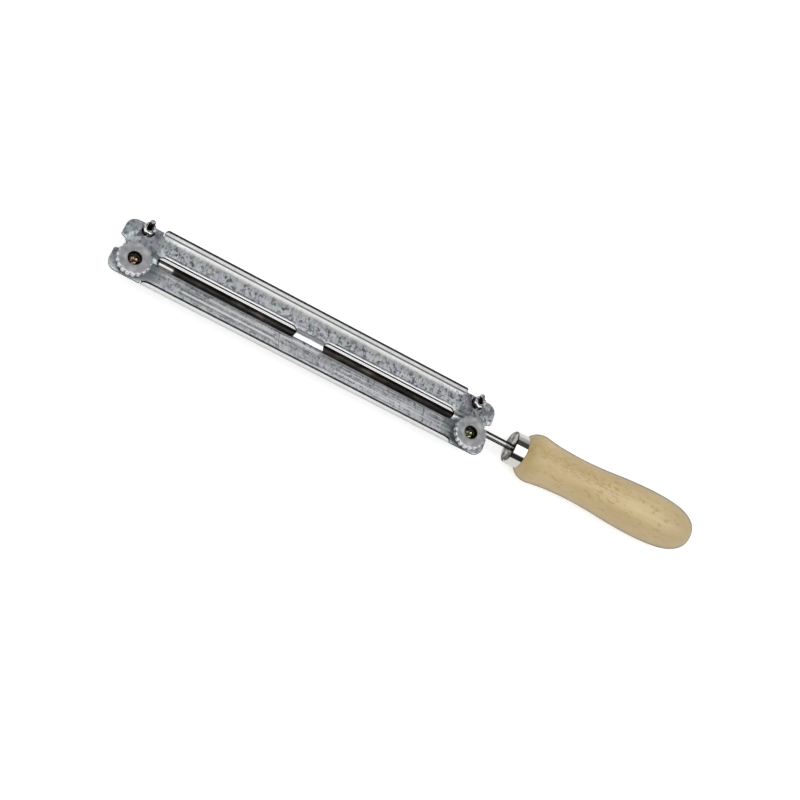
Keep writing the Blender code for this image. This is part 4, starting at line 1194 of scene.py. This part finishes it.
# File, ferrule and handle
def make_file(material):
    """The file, from its tip: a bare end, the spiral-cut teeth, a shoulder and the tang."""
    def file_ring(radius, distance):
        return [(FILE_TIP + distance, -y, x) for x, y, _ in ring(radius, 0, FILE_STEPS)]

    teeth_end = FILE_BODY_LENGTH - TEETH_END_GAP
    rings = [
        file_ring(FILE_RADIUS - FILE_TIP_CHAMFER * 0.6, 0.0),
        file_ring(FILE_RADIUS - FILE_TIP_CHAMFER * 0.5, FILE_TIP_EDGE),
        file_ring(FILE_RADIUS - FILE_TIP_EDGE * 0.4, FILE_TIP_CHAMFER),
        file_ring(FILE_RADIUS, FILE_TIP_CHAMFER + FILE_TIP_EDGE * 4),
        file_ring(FILE_RADIUS, TEETH_START - FILE_TIP_EDGE * 3),
    ]
    rows = round((teeth_end - TEETH_START) / TOOTH_PITCH * TOOTH_ROWS)
    for row in range(rows + 1):
        distance = TEETH_START + (teeth_end - TEETH_START) * row / rows

        def reach(angle, distance=distance):
            turn = (distance / TOOTH_PITCH + TOOTH_STARTS * angle / (2 * math.pi)) % 1.0
            return FILE_RADIUS - TOOTH_DEPTH * (1 - turn)

        rings.append(file_ring(reach, distance))
    tang_end = FILE_BODY_LENGTH + TANG_LENGTH
    rings += [
        file_ring(FILE_RADIUS, FILE_BODY_LENGTH),
        file_ring((FILE_RADIUS + TANG_RADIUS) / 2, FILE_BODY_LENGTH + TANG_SHOULDER * 0.6),
        file_ring(TANG_RADIUS, FILE_BODY_LENGTH + TANG_SHOULDER),
        file_ring(TANG_RADIUS, FERRULE_FRONT + FERRULE_LENGTH - FILE_TIP),
        file_ring(TANG_END_RADIUS, tang_end - FILE_TIP_EDGE * 3),
        file_ring(TANG_END_RADIUS * 0.8, tang_end),
    ]
    name = "round_file_body"
    add_piece(name, skin(name, rings), [material], "file", "round_file", (0, 0, FILE_AXIS))


ALONG_X = (0, math.pi / 2, 0)


def leaned(mesh):
    """Leans a mesh made about Z as the handle leans once it lies along X."""
    mesh.transform(Matrix.Rotation(-HANDLE_LEAN, 4, "X"))
    return mesh


def make_ferrule(material):
    """A drawn cap with a rounded rim."""
    inner = FERRULE_RADIUS - FERRULE_WALL
    hole = TANG_RADIUS + SEAT_GAP
    rim = FERRULE_RIM_RADIUS
    outline = [(inner, FERRULE_LENGTH), (FERRULE_RADIUS - SMALL_EDGE, FERRULE_LENGTH),
               (FERRULE_RADIUS, FERRULE_LENGTH - SMALL_EDGE)]
    outline += arc(FERRULE_RADIUS - rim, rim, rim, 0, -math.pi / 2, ARC_STEPS)
    outline += [(hole + SMALL_EDGE, 0), (hole, SMALL_EDGE), (hole, FERRULE_WALL), (inner, FERRULE_WALL)]
    add_piece("ferrule_cap", leaned(turned("ferrule_cap", outline, looped=True)), [material], "handle",
              "ferrule", (FERRULE_FRONT, 0, FILE_AXIS), ALONG_X)


# Outline of the wood from the ferrule to the butt, as shares of its length and of its largest radius
HANDLE_OUTLINE_SHARES = (
    (0.000, 0.60), (0.012, 0.74), (0.030, 0.87), (0.055, 0.95), (0.084, 0.97), (0.118, 0.93),
    (0.194, 0.867), (0.319, 0.835), (0.443, 0.874), (0.576, 0.958), (0.718, 1.000), (0.834, 0.958),
    (0.916, 0.828), (0.971, 0.575), (0.994, 0.25), (1.000, 0.0),
)


def smooth_line(points, steps):
    """A smooth line through points, with its slope at each point taken from the two beside it."""
    line = []
    vectors = [Vector(point) for point in points]
    for index in range(len(vectors) - 1):
        start = vectors[index]
        end = vectors[index + 1]
        before = vectors[max(index - 1, 0)]
        after = vectors[min(index + 2, len(vectors) - 1)]
        for step in range(steps):
            t = step / steps
            line.append(
                start * (2 * t ** 3 - 3 * t ** 2 + 1)
                + end * (3 * t ** 2 - 2 * t ** 3)
                + (end - before) * ((t ** 3 - 2 * t ** 2 + t) / 2)
                + (after - start) * ((t ** 3 - t ** 2) / 2)
            )
    line.append(vectors[-1])
    return line


def make_handle(material):
    """The turned wood, with a spigot inside the ferrule and a bore for the tang."""
    spigot = FERRULE_RADIUS - FERRULE_WALL - SEAT_GAP
    spigot_front = FERRULE_WALL + SEAT_GAP - FERRULE_LENGTH
    bore = TANG_RADIUS + SEAT_GAP
    tang_end = FILE_TIP + FILE_BODY_LENGTH + TANG_LENGTH - FERRULE_FRONT - FERRULE_LENGTH
    bore_end = tang_end + HANDLE_BORE_OVERRUN
    outside = [(share * HANDLE_RADIUS, place * HANDLE_LENGTH)
               for place, share in reversed(smooth_line(HANDLE_OUTLINE_SHARES, HANDLE_STEPS))]
    outline = [(HANDLE_TIP_RADIUS, HANDLE_LENGTH)]
    outline += [point for point in outside if point[0] > HANDLE_LEAST_RADIUS]
    outline += [
        (spigot, HANDLE_STEP), (spigot, spigot_front), (bore, spigot_front), (bore, 0),
        (TANG_END_RADIUS + SEAT_GAP + bore_end * math.tan(HANDLE_LEAN), bore_end), (HANDLE_STEP, bore_end),
    ]
    place = (
        FERRULE_FRONT + FERRULE_LENGTH * math.cos(HANDLE_LEAN),
        FERRULE_LENGTH * math.sin(HANDLE_LEAN),
        FILE_AXIS,
    )
    add_piece("turned_handle", leaned(turned("turned_handle", outline)), [material], "handle",
              "handle", place, ALONG_X)


# Stage
FLOOR_HALF_WIDTH = 3.0
FLOOR_DROP = 0.0001


def make_floor():
    """A white floor that keeps a faint shadow for the camera, and is a little greyer in reflections."""
    bm = bmesh.new()
    bm.faces.new([bm.verts.new((x, y, -FLOOR_DROP)) for x, y in square_outline(0, 0, FLOOR_HALF_WIDTH)])
    mesh = bpy.data.meshes.new("floor")
    bm.to_mesh(mesh)
    bm.free()
    material = bpy.data.materials.new("floor_white")
    material.use_nodes = True
    material.node_tree.nodes.clear()
    tree = Tree(material.node_tree)
    path = tree.node("LightPath").outputs
    camera = path["Is Camera Ray"]
    seen = tree.most(camera, path["Is Glossy Ray"], path["Is Transmission Ray"])
    plain = tree.node("BsdfDiffuse", Color=rgba(0.95)).outputs[0]
    strength = tree.spread(camera, 0.0, 1.0, 0.85, 2.10)
    glow = tree.node("Emission", Color=rgba(1.0), Strength=strength).outputs[0]
    both = tree.filled("MixShader", None, tree.times(seen, 0.30), plain, glow)
    tree.node("OutputMaterial", Surface=both.outputs[0])
    mesh.materials.append(material)
    floor = bpy.data.objects.new("floor", mesh)
    bpy.context.scene.collection.objects.link(floor)


# The light round the object by its angle from straight up, towards the far side: (degrees, strength)
LIGHT_BANDS = (
    (-100, 0.90), (-90, 0.90), (-88, 0.03), (-53, 0.03), (-49, 1.25), (-25, 1.85), (8, 2.60), (12, 0.06),
    (47, 0.06), (52, 0.42), (74, 0.46), (84, 0.75), (100, 0.90),
)
# Where the light falls off, towards the tip and towards the butt: side, start and stop by X, strength
END_FALLS = ((-1.0, 0.62, 0.80, 0.05), (1.0, 0.40, 0.85, 0.35))


def make_world():
    """A wide soft light overhead and a pale far side. The dark gaps between show on metal as black bands."""
    world = bpy.data.worlds.new("studio")
    world.use_nodes = True
    tree = Tree(world.node_tree)
    background = world.node_tree.nodes["Background"]
    direction = tree.node("SeparateXYZ", Vector=tree.node("TexCoord").outputs["Generated"]).outputs
    turn = tree.spread(tree.maths("ARCTAN2", direction["Y"], direction["Z"]), -math.pi, math.pi)
    strongest = max(strength for _, strength in LIGHT_BANDS)
    stops = [(0.5 + degrees / 360, strength / strongest) for degrees, strength in LIGHT_BANDS]
    bands = tree.ramp(turn, *stops)
    for side, start, stop, strength in END_FALLS:
        dimmed = tree.spread(tree.times(direction["X"], side), start, stop, 1.0, strength)
        bands = tree.mix(dimmed, 0.0, bands)
    seen = tree.node("LightPath").outputs["Is Camera Ray"]
    tree.feed(background, "Color", tree.mix(seen, bands, 1.0))
    tree.feed(background, "Strength", tree.plus(tree.times(seen, 1.0 - strongest), strongest))
    bpy.context.scene.world = world


# The photograph's camera, in the guide's frame
CAMERA_PLACE = Vector((-0.10693, -0.30390, 0.64197))
CAMERA_RIGHT = Vector((0.86488, 0.33323, 0.37541))
CAMERA_FORWARD = Vector((0.22621, 0.40890, -0.88410))
CAMERA_LENS = 61.633


def make_camera():
    forward = CAMERA_FORWARD.normalized()
    right = (CAMERA_RIGHT - forward * CAMERA_RIGHT.dot(forward)).normalized()
    up = right.cross(forward)
    data = bpy.data.cameras.new("camera")
    data.sensor_width = 36
    data.lens = CAMERA_LENS
    camera = bpy.data.objects.new("camera", data)
    axes = Matrix((right, up, -forward)).transposed().to_4x4()
    camera.matrix_world = Matrix.Translation(GUIDE_ORIGIN + CAMERA_PLACE) @ axes
    bpy.context.scene.collection.objects.link(camera)
    bpy.context.scene.camera = camera


def build():
    sheared = sheared_steel_and_painted_shade()
    plate_steel = [galvanised_sheet("galvanised_plate", True), sheared]
    bar_steel = [galvanised_sheet("galvanised_bar", False), sheared]
    bright = bright_zinc()
    dark_screw = zinc_with_painted_light("dark_screw_zinc", 0.80, 0.97)
    dark_nut = zinc_with_painted_light("dark_nut_zinc", 0.45, 0.70)
    dark_washer = zinc_with_painted_light("dark_washer_zinc", 1.10, 1.20)
    satin = satin_zinc()
    plated = {
        "left": yellow_zinc("coppery_zinc", (0.28, 0.17, 0.11), (0.64, 0.47, 0.34), (0.94, 0.88, 0.80)),
        "right": yellow_zinc("greenish_zinc", (0.17, 0.17, 0.09), (0.60, 0.61, 0.34), (0.96, 0.98, 0.80)),
    }
    make_guide_plate(plate_steel)
    for label, end, bend in ENDS:
        make_clamp_bar(bar_steel, label, end)
        make_clamp_screw(plated[label], label, end)
        make_thumb_nut(satin, label, end)
        make_washer("wide_washer_" + label, bright, "thumb_washer_" + label, THUMB_WASHER_RADIUS,
                    CLAMP_BORE, THUMB_WASHER_HEIGHT, clamp_place(end))
        make_washer("small_washer_" + label, dark_washer, "pivot_washer_" + label, PIVOT_WASHER_RADIUS,
                    PIVOT_BORE, PIVOT_WASHER_HEIGHT, pivot_place(end))
        make_pivot_nut(dark_nut, label, end)
        make_pivot_screw(dark_screw, label, end, bend)
    make_file(file_steel())
    make_ferrule(nickel_plate())
    make_handle(pale_wood())
    make_floor()
    make_world()
    make_camera()
    bpy.context.scene.view_settings.view_transform = "Standard"


build()
